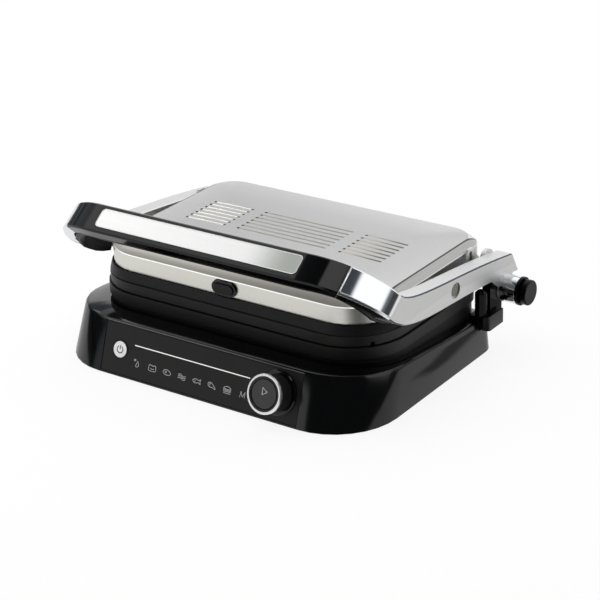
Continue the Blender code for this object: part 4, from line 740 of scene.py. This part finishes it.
def repeated(tree, mesh, material, rows, row_step, columns=1, column_step=(0, 0, 0)):
    """The mesh copied over a grid, as one plain mesh."""
    maker = bpy.data.objects.new(mesh.name + "_maker", mesh)
    bpy.context.scene.collection.objects.link(maker)
    modifier = maker.modifiers.new("repeat", "NODES")
    modifier.node_group = tree
    values = {"Rows": rows, "Row Step": row_step, "Columns": columns, "Column Step": column_step,
              "Material": material}
    for item in tree.interface.items_tree:
        if item.name in values:
            modifier[item.identifier] = values[item.name]
    graph = bpy.context.evaluated_depsgraph_get()
    made = bpy.data.meshes.new_from_object(maker.evaluated_get(graph))
    maker.modifiers.remove(modifier)
    bpy.data.objects.remove(maker)
    return made


def link_piece(name, mesh, material, body):
    """Hang a finished mesh, laid out in place, on a body."""
    piece = bpy.data.objects.new(name, mesh)
    bpy.context.scene.collection.objects.link(piece)
    mesh.materials.clear()
    mesh.materials.append(material)
    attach(piece, body)


class PanelPlane:
    """The sloping panel's face: x across the grill, v up the slope from its lower edge."""

    def __init__(self, thickness=1.5 * MM):
        lean = bpy.context.scene.grill_print.lean
        low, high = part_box("control_panel")
        self.height = (high.z - low.z - thickness * math.sin(lean)) / math.cos(lean)
        self.up = Vector((0, math.sin(lean), math.cos(lean)))
        self.out = Vector((0, -math.cos(lean), math.sin(lean)))
        self.start = Vector((0, low.y, high.z - self.height * math.cos(lean)))

    def middle(self, node):
        """A node's middle as x and v."""
        low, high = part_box(node)
        centre = (low + high) / 2
        return centre.x, (centre - self.start).dot(self.up)

    def face(self, node):
        """How far a node's face stands out from the panel."""
        return max((vertex.co - self.start).dot(self.out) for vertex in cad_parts[node].data.vertices)

    def about(self, x, v, face=0.0):
        """A function that lays a drawing in millimetres on the panel, about x and v."""
        middle = self.start + Vector((x, 0, 0)) + self.up * v + self.out * face
        return lambda right, rise, out: (middle + Vector((right * MM, 0, 0)) + self.up * (rise * MM)
                                         + self.out * out)


def flat_section(low, high):
    """A rectangle as (share of the half width, height) corners."""
    return ((1, low), (1, high), (-1, high), (-1, low))


def round_section(low, high, steps=8):
    """A half round from low up to high, as (share of the half width, height) corners."""
    turns = [math.pi * step / steps for step in range(steps + 1)]
    return ((1, low), *[(math.cos(turn), high * math.sin(turn)) for turn in turns], (-1, low))


def skin(shape, rings, closed=False):
    """Join rings of equally many corners; closed ties the last to the first, else both ends are capped."""
    pairs = list(zip(rings, rings[1:]))
    if closed:
        pairs.append((rings[-1], rings[0]))
    for one, two in pairs:
        for index in range(len(one)):
            following = (index + 1) % len(one)
            shape.faces.new((one[index], one[following], two[following], two[index]))
    if not closed:
        shape.faces.new(rings[0])
        shape.faces.new(rings[-1][::-1])


def round_ring(shape, centre, radii, level):
    """Corners evenly round a centre, one for each of the radii."""
    turns = [math.tau * step / len(radii) for step in range(len(radii))]
    return [shape.verts.new(centre + Vector((radius * math.cos(turn), radius * math.sin(turn), level)))
            for radius, turn in zip(radii, turns)]


def ribbon(shape, points, width, section, place, closed=False):
    """A raised line of even width through flat points; place turns (x, y, height) into a point."""
    count = len(points)
    sides = []
    for index, point in enumerate(points):
        before = points[(index - 1) % count] if closed or index else point
        after = points[(index + 1) % count] if closed or index < count - 1 else point
        along = (Vector(after) - Vector(before)).normalized()
        normal = Vector((-along.y, along.x)) * width / 2
        corners = []
        for share, level in section:
            spot = Vector(point) + normal * share
            corners.append(shape.verts.new(place(spot.x, spot.y, level)))
        sides.append(corners)
    skin(shape, sides, closed)


def draw_lines(shape, lines, width, proud, place):
    """Raise lines of (points, closed), drawn in millimetres, from a face."""
    for points, closed in lines:
        ribbon(shape, points, width / MM, flat_section(0, proud), place, closed)


def finish_mesh(shape, name):
    bmesh.ops.recalc_face_normals(shape, faces=shape.faces)
    mesh = bpy.data.meshes.new(name)
    shape.to_mesh(mesh)
    shape.free()
    return mesh


def round_line(centre, radii, start, end, steps=16):
    """Points on an ellipse between two angles in degrees."""
    turns = [math.radians(start + (end - start) * step / steps) for step in range(steps + 1)]
    return [(centre[0] + radii[0] * math.cos(turn), centre[1] + radii[1] * math.sin(turn)) for turn in turns]


def smooth_line(points, closed=True, steps=5):
    """Catmull-Rom points through a few control points."""
    count = len(points)
    made = []
    for index in range(count if closed else count - 1):
        places = [index + shift for shift in (-1, 0, 1, 2)]
        if closed:
            places = [place % count for place in places]
        else:
            places = [min(max(place, 0), count - 1) for place in places]
        p0, p1, p2, p3 = [Vector(points[place]) for place in places]
        for step in range(steps):
            t = step / steps
            made.append(0.5 * ((2 * p1) + (p2 - p0) * t + (2 * p0 - 5 * p1 + 4 * p2 - p3) * t ** 2
                               + (3 * p1 - p0 - 3 * p2 + p3) * t ** 3))
    if not closed:
        made.append(Vector(points[-1]))
    return [(point[0], point[1]) for point in made]


def drop_and_flake():
    """Thawing: a drop beside a small flake of three strokes."""
    drop = smooth_line([(-1.4, -3.2), (0.6, -2.4), (0.9, -0.6), (-0.4, 2.2), (-1.6, -0.4), (-2.4, -2.0)])
    flake = [[(-5.0, 2.4), (-2.6, 3.6)], [(-5.0, 3.6), (-2.6, 2.4)], [(-3.8, 1.8), (-3.8, 4.2)]]
    return [(drop, True)] + [(stroke, False) for stroke in flake]


def toast():
    slice_edge = smooth_line([(-3.8, -2.6), (3.6, -2.6), (4.0, 0.2), (3.4, 2.6), (0, 2.2), (-3.6, 2.8),
                              (-4.2, 0.4)])
    return [(slice_edge, True), (round_line((0, 0), (2.2, 1.0), 200, 340), False)]


def steak():
    edge = smooth_line([(-4.4, -0.6), (-3.4, 2.0), (-0.4, 2.4), (2.6, 1.6), (4.4, -0.6), (2.4, -2.2),
                        (-1.6, -2.2)])
    return [(edge, True), (round_line((-1.4, 0.3), (0.9, 0.7), 0, 360), False)]


def bacon():
    """Three waves one over the other."""
    crest, levels = 1.1, (1.4, -0.2, -1.8)
    waves = [[(-4.4, level), (-2.2, level + crest), (0, level), (2.2, level - crest), (4.4, level)]
             for level in levels]
    return [(smooth_line(wave, closed=False), False) for wave in waves]


def fish():
    body = smooth_line([(-4.6, 0.2), (-1.6, 2.2), (2.0, 1.2), (4.4, 2.4), (3.8, 0), (4.4, -2.2), (2.0, -1.0),
                        (-1.8, -1.8)])
    return [(body, True), ([(-2.4, 1.4), (-1.8, 0.2), (-2.4, -1.2)], False)]


def chicken_leg():
    leg = smooth_line([(-3.8, 2.4), (-1.0, 2.6), (1.4, 0.8), (3.6, -1.4), (4.2, -2.6), (2.4, -2.2),
                       (0.4, -1.6), (-2.6, -1.4), (-4.4, 0.4)])
    return [(leg, True), (round_line((-1.8, 0.8), (1.0, 0.8), 60, 260), False)]


def burger():
    """A domed bun over a line and a tapered lower half."""
    half, rim = 4.2, 0.8
    top = [(-half, rim)] + round_line((0, rim), (half, 2.6), 180, 0) + [(-half, rim)]
    low = [(-half, -1.4), (half, -1.4), (3.6, -3.0), (-3.6, -3.0)]
    return [(top, False), (low, True), ([(-4.4, -0.3), (4.4, -0.3)], False)]


def letter():
    """The hand setting's M, stroke by stroke so that its corners stay sharp."""
    corners = [(-2.9, -2.8), (-2.1, 2.8), (-0.1, -2.2), (2.5, 2.8), (2.2, -2.8)]
    return [([one, two], False) for one, two in zip(corners, corners[1:])]


# The row on the panel, each drawn in millimetres about its middle as lists of (points, closed)
PICTOGRAMS = (drop_and_flake, toast, steak, bacon, fish, chicken_leg, burger, letter)


def lay_floor(studio):
    """A pale floor: plain white far out, a faint shade near the grill, and its own tones in metal."""
    shape = bmesh.new()
    bmesh.ops.create_grid(shape, x_segments=2, y_segments=2, size=studio.floor_size / 2)
    floor = bpy.data.objects.new("floor", finish_mesh(shape, "floor"))
    bpy.context.scene.collection.objects.link(floor)
    paper = Finish("floor_white", studio.floor_colour, 0.9)
    paper.set("Specular IOR Level", 0.1)
    path = paper.add("ShaderNodeLightPath")
    x, y = paper.axes()[:2]
    away = ((x * x + y * y) / (studio.floor_clear ** 2)).over(1.0, blur=1.6)
    first = paper.add("ShaderNodeMixShader", None, {
        0: Value(paper, path.outputs["Is Camera Ray"]) * away.larger(studio.floor_lift),
        1: paper.shader.outputs[0],
        2: paper.add("ShaderNodeEmission", None, {"Strength": 1.0}).outputs[0]})
    tone = floor_tone(x, y, studio)
    second = paper.add("ShaderNodeMixShader", None, {
        0: path.outputs["Is Glossy Ray"],
        1: first.outputs[0],
        2: paper.add("ShaderNodeEmission", None, {"Strength": tone}).outputs[0]})
    paper.feed(paper.tree.nodes["Material Output"].inputs["Surface"], second.outputs[0])
    floor.data.materials.append(paper.material)


def floor_tone(x, y, studio):
    """Brightness of the floor in shiny surfaces: dark at the front right, dimmed in a strip at the right."""
    front_right = x.over(0.19, blur=0.05) * y.under(-0.12, blur=0.06)
    dark = x.over(0.62, blur=0.10).larger(front_right)
    strip = x.near(0.238, half=0.018, blur=0.012) * y.over(0.05, blur=0.04)
    return (studio.floor_reflected - dark * (studio.floor_reflected - studio.room_dark)) * (1 - strip * 0.70)


def room_level(x, y, z, studio):
    """Brightness of the room that shiny surfaces see along a direction (x, y, z)."""
    def toward(aim):
        return x * aim[0] + y * aim[1] + z * aim[2]

    # Wide wall behind, dimmer toward its left end
    behind = toward((-0.20, 0.90, 0.35)).over(0.45, blur=0.7) * x.faded(-0.75, blur=0.1, least=0.45)
    level = studio.room_dark + behind * (studio.room_back - studio.room_dark)

    # Softboxes: up on the left, low in front, on the right and overhead
    left = x.under(-0.50, blur=0.02) * x.faded(-0.80, blur=0.1, least=0.4)
    left = left * y.over(-0.55, blur=0.2) * z.over(0.30, blur=0.2)
    level = level.larger(left * studio.box_left)
    front = x.under(-0.29, blur=0.08) * x.faded(-0.60, blur=0.1, least=0.55)
    front = front * y.under(-0.60, blur=0.1) * z.over(0.0, blur=0.1) * z.under(0.40, blur=0.1)
    level = level.larger(front * studio.room_front)
    over_horizon = (z + y * 0.5).over(0.22, blur=0.06)
    right = toward(Vector((0.90, 0.17, 0.40)).normalized()).over(0.915, blur=0.05)
    level = level.larger(right * over_horizon * studio.box_right)
    top = toward(Vector((0.22, -0.27, 0.937)).normalized()).over(0.982, blur=0.006)
    level = level.larger(top * over_horizon * studio.box_top)

    # Dark seams between the left box's panels, and a dark beam across the wall behind
    seams = z.near(0.26, half=0.02, blur=0.01).larger(z.near(0.11, half=0.02, blur=0.01))
    seams = seams * x.under(-0.80, blur=0.02)
    beam = z.near(0.400, half=0.075, blur=0.01) * y.over(0.3, blur=0.1) * x.under(-0.20, blur=0.1)
    return level * (1 - seams * 0.8) * (1 - beam * 0.85)


def set_world(studio):
    """Even light for dull surfaces, white to the camera, and a softbox room for shiny ones."""
    cool, white = (0.84, 0.93, 1.08, 1), (1, 1, 1, 1)
    world = bpy.data.worlds.new("studio")
    bpy.context.scene.world = world
    world.use_nodes = True
    room = Nodes(world.node_tree)
    level = room_level(*room.parts(room.add("ShaderNodeTexCoord").outputs["Generated"]), studio)
    path = room.add("ShaderNodeLightPath")
    seen = Value(room, path.outputs["Is Camera Ray"])
    shiny = Value(room, path.outputs["Is Glossy Ray"]).larger(path.outputs["Is Transmission Ray"])
    strength = seen + (1 - seen) * (shiny * level + (1 - shiny) * studio.world_strength)
    bright = level.over(0.5, blur=1.0) * (1 - seen) * shiny + 1 - shiny
    background = world.node_tree.nodes["Background"]
    room.feed(background.inputs["Color"], room.mix(cool, white, bright))
    room.feed(background.inputs["Strength"], strength)


def hang_lamps(studio):
    """Three large lamps aimed at the grill, which shiny surfaces don't show."""
    middle = Vector((0, 0, 0.08))
    lamps = (
        ("top_lamp", (-0.3, 0.2, 1.4), (1.6, 1.4), studio.top_power),
        ("left_lamp", (-1.4, -0.7, 0.9), (1.2, 1.0), studio.side_power),
        ("rear_lamp", (0.9, 1.5, 1.0), (1.4, 1.0), studio.rear_power),
    )
    for name, place, size, power in lamps:
        data = bpy.data.lights.new(name, "AREA")
        data.shape = "RECTANGLE"
        data.size, data.size_y = size
        data.energy = power
        lamp = bpy.data.objects.new(name, data)
        lamp.location = place
        lamp.rotation_euler = (middle - Vector(place)).to_track_quat("-Z", "Y").to_euler()
        lamp.visible_glossy = False
        bpy.context.scene.collection.objects.link(lamp)


def place_camera(scene, studio):
    turn, rise, roll = studio.camera_turn, studio.camera_rise, studio.camera_roll
    right = Vector((math.cos(turn), math.sin(turn), 0))
    up = Vector((-math.sin(turn) * math.sin(rise), math.cos(turn) * math.sin(rise), math.cos(rise)))
    ahead = Vector((-math.sin(turn) * math.cos(rise), math.cos(turn) * math.cos(rise), -math.sin(rise)))
    rolled_right = right * math.cos(roll) + up * math.sin(roll)
    rolled_up = up * math.cos(roll) - right * math.sin(roll)
    slide = rolled_right * studio.camera_slide[0] + rolled_up * studio.camera_slide[1]
    place = Vector(studio.target) - ahead * studio.camera_distance + slide
    data = bpy.data.cameras.new("camera")
    data.sensor_width = 36
    data.lens = studio.camera_lens
    camera = bpy.data.objects.new("camera", data)
    axes = Matrix((rolled_right, rolled_up, -ahead)).transposed().to_4x4()
    camera.matrix_world = Matrix.Translation(place) @ axes
    scene.collection.objects.link(camera)
    scene.camera = camera
    scene.view_settings.view_transform = "Standard"


class GRILL_OT_set_stage(bpy.types.Operator):
    """Lay the floor, hang the lamps and place the camera"""

    bl_idname = "grill.set_stage"
    bl_label = "Set Stage"

    def execute(self, context):
        studio = context.scene.grill_studio
        lay_floor(studio)
        set_world(studio)
        hang_lamps(studio)
        place_camera(context.scene, studio)
        return {"FINISHED"}


class GRILL_OT_smooth_nodes(bpy.types.Operator):
    """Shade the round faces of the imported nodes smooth"""

    bl_idname = "grill.smooth_nodes"
    bl_label = "Smooth Nodes"

    def execute(self, context):
        # The lid's bevels are shallow, and their edges stay crisp
        smooth_nodes(usual=30, own={"lid_cover": 13})
        return {"FINISHED"}


class GRILL_OT_finish_plastics(bpy.types.Operator):
    """Give the moulded parts, the feet and the boards their finishes"""

    bl_idname = "grill.finish_plastics"
    bl_label = "Finish Plastics"

    def execute(self, context):
        dress("base_gloss", "gloss_black", "deep_black", "start_face", "housing_black", "satin_black",
              "power_disc", "light_lens", "rubber", "circuit_board")
        return {"FINISHED"}


class GRILL_OT_finish_metals(bpy.types.Operator):
    """Give the steel, cast and chromed parts their finishes"""

    bl_idname = "grill.finish_metals"
    bl_label = "Finish Metals"

    def execute(self, context):
        dress("lid_steel", "inlay_steel", "arm_metal", "cast_metal", "ring_metal", "chrome", "screw_metal",
              "heater_steel", "reflector_steel")
        return {"FINISHED"}


class GRILL_OT_finish_coated(bpy.types.Operator):
    """Give the panel and the cooking plates their coatings"""

    bl_idname = "grill.finish_coated"
    bl_label = "Finish Coated Parts"

    def execute(self, context):
        dress("panel_coat", "plate_coat")
        return {"FINISHED"}


class GRILL_OT_print_panel(bpy.types.Operator):
    """Print the row of pictograms on the control panel"""

    bl_idname = "grill.print_panel"
    bl_label = "Print Panel"

    def execute(self, context):
        marks = context.scene.grill_print
        plane = PanelPlane()
        shape = bmesh.new()
        for index, pictogram in enumerate(PICTOGRAMS):
            place = plane.about(marks.first + marks.pitch * index, marks.level)
            draw_lines(shape, pictogram(), marks.line, marks.proud, place)
        ink = paint("panel_print", context.scene.grill_finish.print_colour).material
        link_piece("panel_pictograms", finish_mesh(shape, "panel_pictograms"), ink, "base")
        return {"FINISHED"}


def power_lines(radius):
    """An open ring with a bar through its gap."""
    bar_top, bar_foot = 1.15 * radius, 0.1 * radius
    ring = round_line((0, 0), (radius, radius), 120, 420, steps=28)
    return [(ring, False), ([(0, bar_top), (0, bar_foot)], False)]


def start_lines(size):
    """A triangle that points to the right."""
    back = -0.62 * size
    return [([(back, size), (size, 0), (back, -size)], True)]


class GRILL_OT_mark_buttons(bpy.types.Operator):
    """Draw the power sign and the start triangle"""

    bl_idname = "grill.mark_buttons"
    bl_label = "Mark Buttons"

    def execute(self, context):
        marks, knob = context.scene.grill_print, context.scene.grill_knobs
        plane = PanelPlane()
        power, start = power_lines(knob.sign_radius / MM), start_lines(knob.start_size / MM)
        for name, node, lines, width, colour, body in (
                ("power_sign", "power_button", power, knob.sign_line, (0.035, 0.035, 0.035), "power"),
                ("start_sign", "start_button", start, knob.start_line, (0.75, 0.75, 0.72), "start")):
            shape = bmesh.new()
            draw_lines(shape, lines, width, marks.proud, plane.about(*plane.middle(node), plane.face(node)))
            ink = paint(name + "_ink", colour).material
            link_piece(name, finish_mesh(shape, name), ink, body)
        return {"FINISHED"}


def handle_axes(slope):
    """The directions down and out of the handle's sloping face."""
    return Vector((0, -math.cos(slope), -math.sin(slope))), Vector((0, -math.sin(slope), math.cos(slope)))


class GRILL_OT_rim_inlay(bpy.types.Operator):
    """Run the bright rim round the handle's inlay"""

    bl_idname = "grill.rim_inlay"
    bl_label = "Rim Inlay"

    def execute(self, context):
        handle = context.scene.grill_handle
        down, out = handle_axes(handle.slope)
        sunk = 0.2 * MM
        corners = [vertex.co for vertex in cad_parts["handle_inlay"].data.vertices]
        face = max(corner.dot(out) for corner in corners)
        reach = [corner.dot(down) for corner in corners]
        centre, half = (max(reach) + min(reach)) / 2, (max(reach) - min(reach)) / 2
        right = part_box("handle_inlay")[1].x - handle.corner
        radius = handle.corner - handle.rim / 2
        points = []
        for turn, side, level in ((0, 1, 1), (90, -1, 1), (180, -1, -1), (270, 1, -1)):
            spot = (side * right, level * (half - handle.corner))
            points += round_line(spot, (radius, radius), turn, turn + 90, steps=6)

        def place(x, drop, proud):
            return Vector((x, 0, 0)) + down * (centre + drop) + out * (face + proud)

        shape = bmesh.new()
        ribbon(shape, points, handle.rim, flat_section(-sunk, handle.rim_proud), place, closed=True)
        steel = brushed("inlay_rim_steel", context.scene.grill_finish, (0.92, 0.92, 0.91), contrast=0.3)
        link_piece("inlay_rim", finish_mesh(shape, "inlay_rim"), steel.material, "yoke")
        return {"FINISHED"}


def bend_edges(handle, down, out, face):
    """Angle round the bend, top and bottom of the arm's face at each of its stations."""
    on_face, past_end = 0.6 * MM, 0.01
    rows = {}
    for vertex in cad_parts["arm_right"].data.vertices:
        across = vertex.co.x - handle.straight
        deep = handle.bend_radius - face + vertex.co.dot(out)
        if across > 0 and abs(math.hypot(across, deep) - handle.bend_radius) < on_face:
            turn = round(math.atan2(across, deep), 3)
            if turn < handle.bend_end + past_end:
                rows.setdefault(turn, []).append(vertex.co.dot(down))
    return [(turn, min(drops), max(drops)) for turn, drops in sorted(rows.items())]


def bead_path(edges, radius, inset):
    """Points (way round the bend, drop): down the joint, round a small corner, along the lower edge."""
    first, top, bottom = edges[0]
    joint = first * radius + inset
    path = [(joint, top + inset)]
    for aside, above in ((0, 3 * MM), (0.4 * MM, 1.6 * MM), (1.4 * MM, inset + 0.3 * MM)):
        path.append((joint + aside, bottom - above))
    return path + [(turn * radius, lower - inset) for turn, upper, lower in edges[1:]]


class GRILL_OT_rim_bends(bpy.types.Operator):
    """Run a bright bead down the joint and along the lower edge of each polished bend"""

    bl_idname = "grill.rim_bends"
    bl_label = "Rim Bends"

    def execute(self, context):
        handle = context.scene.grill_handle
        down, out = handle_axes(handle.slope)
        sunk, inset_share = 0.2 * MM, 0.6
        face = max(vertex.co.dot(out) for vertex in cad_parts["handle_bar"].data.vertices)
        radius = handle.bend_radius
        path = bead_path(bend_edges(handle, down, out, face), radius, handle.bead * inset_share)
        section = round_section(-sunk, handle.bead_proud)
        shape = bmesh.new()
        for side in (-1, 1):
            def place(along, drop, proud, side=side):
                turn = along / radius
                reach = radius + proud
                across = side * (handle.straight + reach * math.sin(turn))
                return Vector((across, 0, 0)) + down * drop + out * (face - radius + reach * math.cos(turn))

            ribbon(shape, path, handle.bead, section, place)
        metal = chrome("bend_bead_metal", (0.92, 0.92, 0.92), 0.20).material
        mesh = finish_mesh(shape, "bend_beads")
        mesh.shade_smooth()
        link_piece("bend_beads", mesh, metal, "yoke")
        return {"FINISHED"}


def first_slot(x, vents):
    """A place on the lid over the front row of slots; the lid's top falls a little toward its sides."""
    level_half, fall = 94.8 * MM, 0.026
    low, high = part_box("lid_cover")
    return Vector((x, low.y + vents.first, high.z - max(0, abs(x) - level_half) * fall))


def strip_mesh(name, start, end, vents, steps=12):
    """One slightly crowned strip in the front row's slot."""
    half, top, flat_share = vents.width / 2, -vents.sunk, 0.6
    edge, foot = top - vents.crown, top - vents.thickness
    profile = ((-half, foot), (-half, edge), (-half * flat_share, top), (half * flat_share, top),
               (half, edge), (half, foot))
    shape = bmesh.new()
    rings = []
    for step in range(steps + 1):
        middle = first_slot(start + (end - start) * step / steps, vents)
        rings.append([shape.verts.new(middle + Vector((0, deep, level))) for deep, level in profile])
    skin(shape, rings)
    return finish_mesh(shape, name)


def hole_mesh(name, x, vents, count=12):
    """One dark dimple at the end of the front row's slot."""
    foot, rim, crown = (1.0, -0.3 * MM), (1.0, 0.01 * MM), (0.5, 0.03 * MM)
    middle = first_slot(x, vents)
    shape = bmesh.new()
    skin(shape, [round_ring(shape, middle, [vents.hole_radius * share] * count, level)
                 for share, level in (foot, rim, crown)])
    return finish_mesh(shape, name)


class GRILL_OT_fill_vents(bpy.types.Operator):
    """Lay the light strips in the lid's slots, with a hole at their ends"""

    bl_idname = "grill.fill_vents"
    bl_label = "Fill Vents"

    def execute(self, context):
        vents = context.scene.grill_vents
        tree = repeating_tree()
        step = (0, vents.pitch, 0)
        # Cream strips; painted shade darkens them from the left group to the right one, and toward the right
        # end of the middle and right groups
        bright, straw, dark = (0.80, 0.78, 0.70), (0.52, 0.49, 0.42), (0.085, 0.08, 0.06)
        grey, dark_grey = (0.33, 0.32, 0.28), (0.26, 0.25, 0.22)
        for side, start, end, left, right in (
                ("left", -vents.side_end, -vents.side_start, bright, bright),
                ("middle", -vents.middle, vents.middle, grey, dark_grey),
                ("right", vents.side_start, vents.side_end, straw, dark)):
            name = "vent_strips_" + side
            ink = strip_paint(name + "_paint", start, end, left, right).material
            mesh = strip_mesh(name, start + vents.end_gap, end - vents.end_gap, vents)
            link_piece(name, repeated(tree, mesh, ink, vents.rows, step), ink, "lid")
        ink = paint("vent_hole_dark", (0.010, 0.010, 0.010), 0.7).material
        inset = vents.hole_inset
        for side, x in (("left", inset - vents.side_end), ("inner", -inset - vents.side_start),
                        ("right", vents.side_start + inset), ("middle", inset - vents.middle)):
            name = "vent_holes_" + side
            mesh = hole_mesh(name, x, vents)
            link_piece(name, repeated(tree, mesh, ink, vents.rows, step), ink, "lid")
        return {"FINISHED"}


def screw_mesh(name, place, screws, count=24):
    """A pan head that hangs below a level, with a cross recess."""
    radius, height = screws.head_radius, screws.head_height
    arm_reach, notch_reach, recess_depth = 0.34 * radius, 0.14 * radius, 0.3 * height
    shape = bmesh.new()
    rings = [round_ring(shape, place, [radius * share] * count, -height * depth_share)
             for share, depth_share in ((1.0, 0), (1.0, 0.5), (0.8, 1), (0.36, 1))]
    cross = [arm_reach if step % 6 in (0, 1, 5) else notch_reach for step in range(count)]
    rings.append(round_ring(shape, place, cross, -recess_depth))
    skin(shape, rings)
    return finish_mesh(shape, name)


class GRILL_OT_screw_bottom(bpy.types.Operator):
    """Set the screws in the bottom cover"""

    bl_idname = "grill.screw_bottom"
    bl_label = "Screw Bottom"

    def execute(self, context):
        screws = context.scene.grill_screws
        low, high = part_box("bottom_cover")
        metal = chrome("bottom_screw_metal", (0.50, 0.50, 0.50), 0.3).material
        left = -screws.spread * (screws.columns - 1) / 2
        mesh = screw_mesh("bottom_screws", Vector((left, low.y + screws.margin, low.z)), screws)
        row_step = (0, (high.y - low.y - 2 * screws.margin) / (screws.rows - 1), 0)
        column_step = (screws.spread, 0, 0)
        made = repeated(repeating_tree(), mesh, metal, screws.rows, row_step, screws.columns, column_step)
        link_piece("bottom_screws", made, metal, "base")
        return {"FINISHED"}


OPERATORS = (
    GRILL_OT_set_stage,
    GRILL_OT_smooth_nodes,
    GRILL_OT_finish_plastics,
    GRILL_OT_finish_metals,
    GRILL_OT_finish_coated,
    GRILL_OT_print_panel,
    GRILL_OT_mark_buttons,
    GRILL_OT_rim_inlay,
    GRILL_OT_rim_bends,
    GRILL_OT_fill_vents,
    GRILL_OT_screw_bottom,
)


class GRILL_PT_dressing(bpy.types.Panel):
    """Lists the steps that dress the grill"""

    bl_label = "Grill Dressing"
    bl_idname = "GRILL_PT_dressing"
    bl_space_type = "VIEW_3D"
    bl_region_type = "UI"
    bl_category = "Grill"

    def draw(self, context):
        for operator in OPERATORS:
            self.layout.operator(operator.bl_idname)


SETTINGS = (
    ("grill_studio", StudioSettings),
    ("grill_finish", FinishSettings),
    ("grill_print", PrintSettings),
    ("grill_knobs", KnobSettings),
    ("grill_handle", HandleSettings),
    ("grill_vents", VentSettings),
    ("grill_screws", ScrewSettings),
)


def register():
    for name, settings in SETTINGS:
        bpy.utils.register_class(settings)
        setattr(bpy.types.Scene, name, PointerProperty(type=settings))
    for thing in (*OPERATORS, GRILL_PT_dressing):
        bpy.utils.register_class(thing)


def unregister():
    for thing in (GRILL_PT_dressing, *reversed(OPERATORS)):
        bpy.utils.unregister_class(thing)
    for name, settings in reversed(SETTINGS):
        delattr(bpy.types.Scene, name)
        bpy.utils.unregister_class(settings)


def main():
    register()
    for operator in OPERATORS:
        group, name = operator.bl_idname.split(".")
        getattr(getattr(bpy.ops, group), name)()


if __name__ == "__main__":
    main()
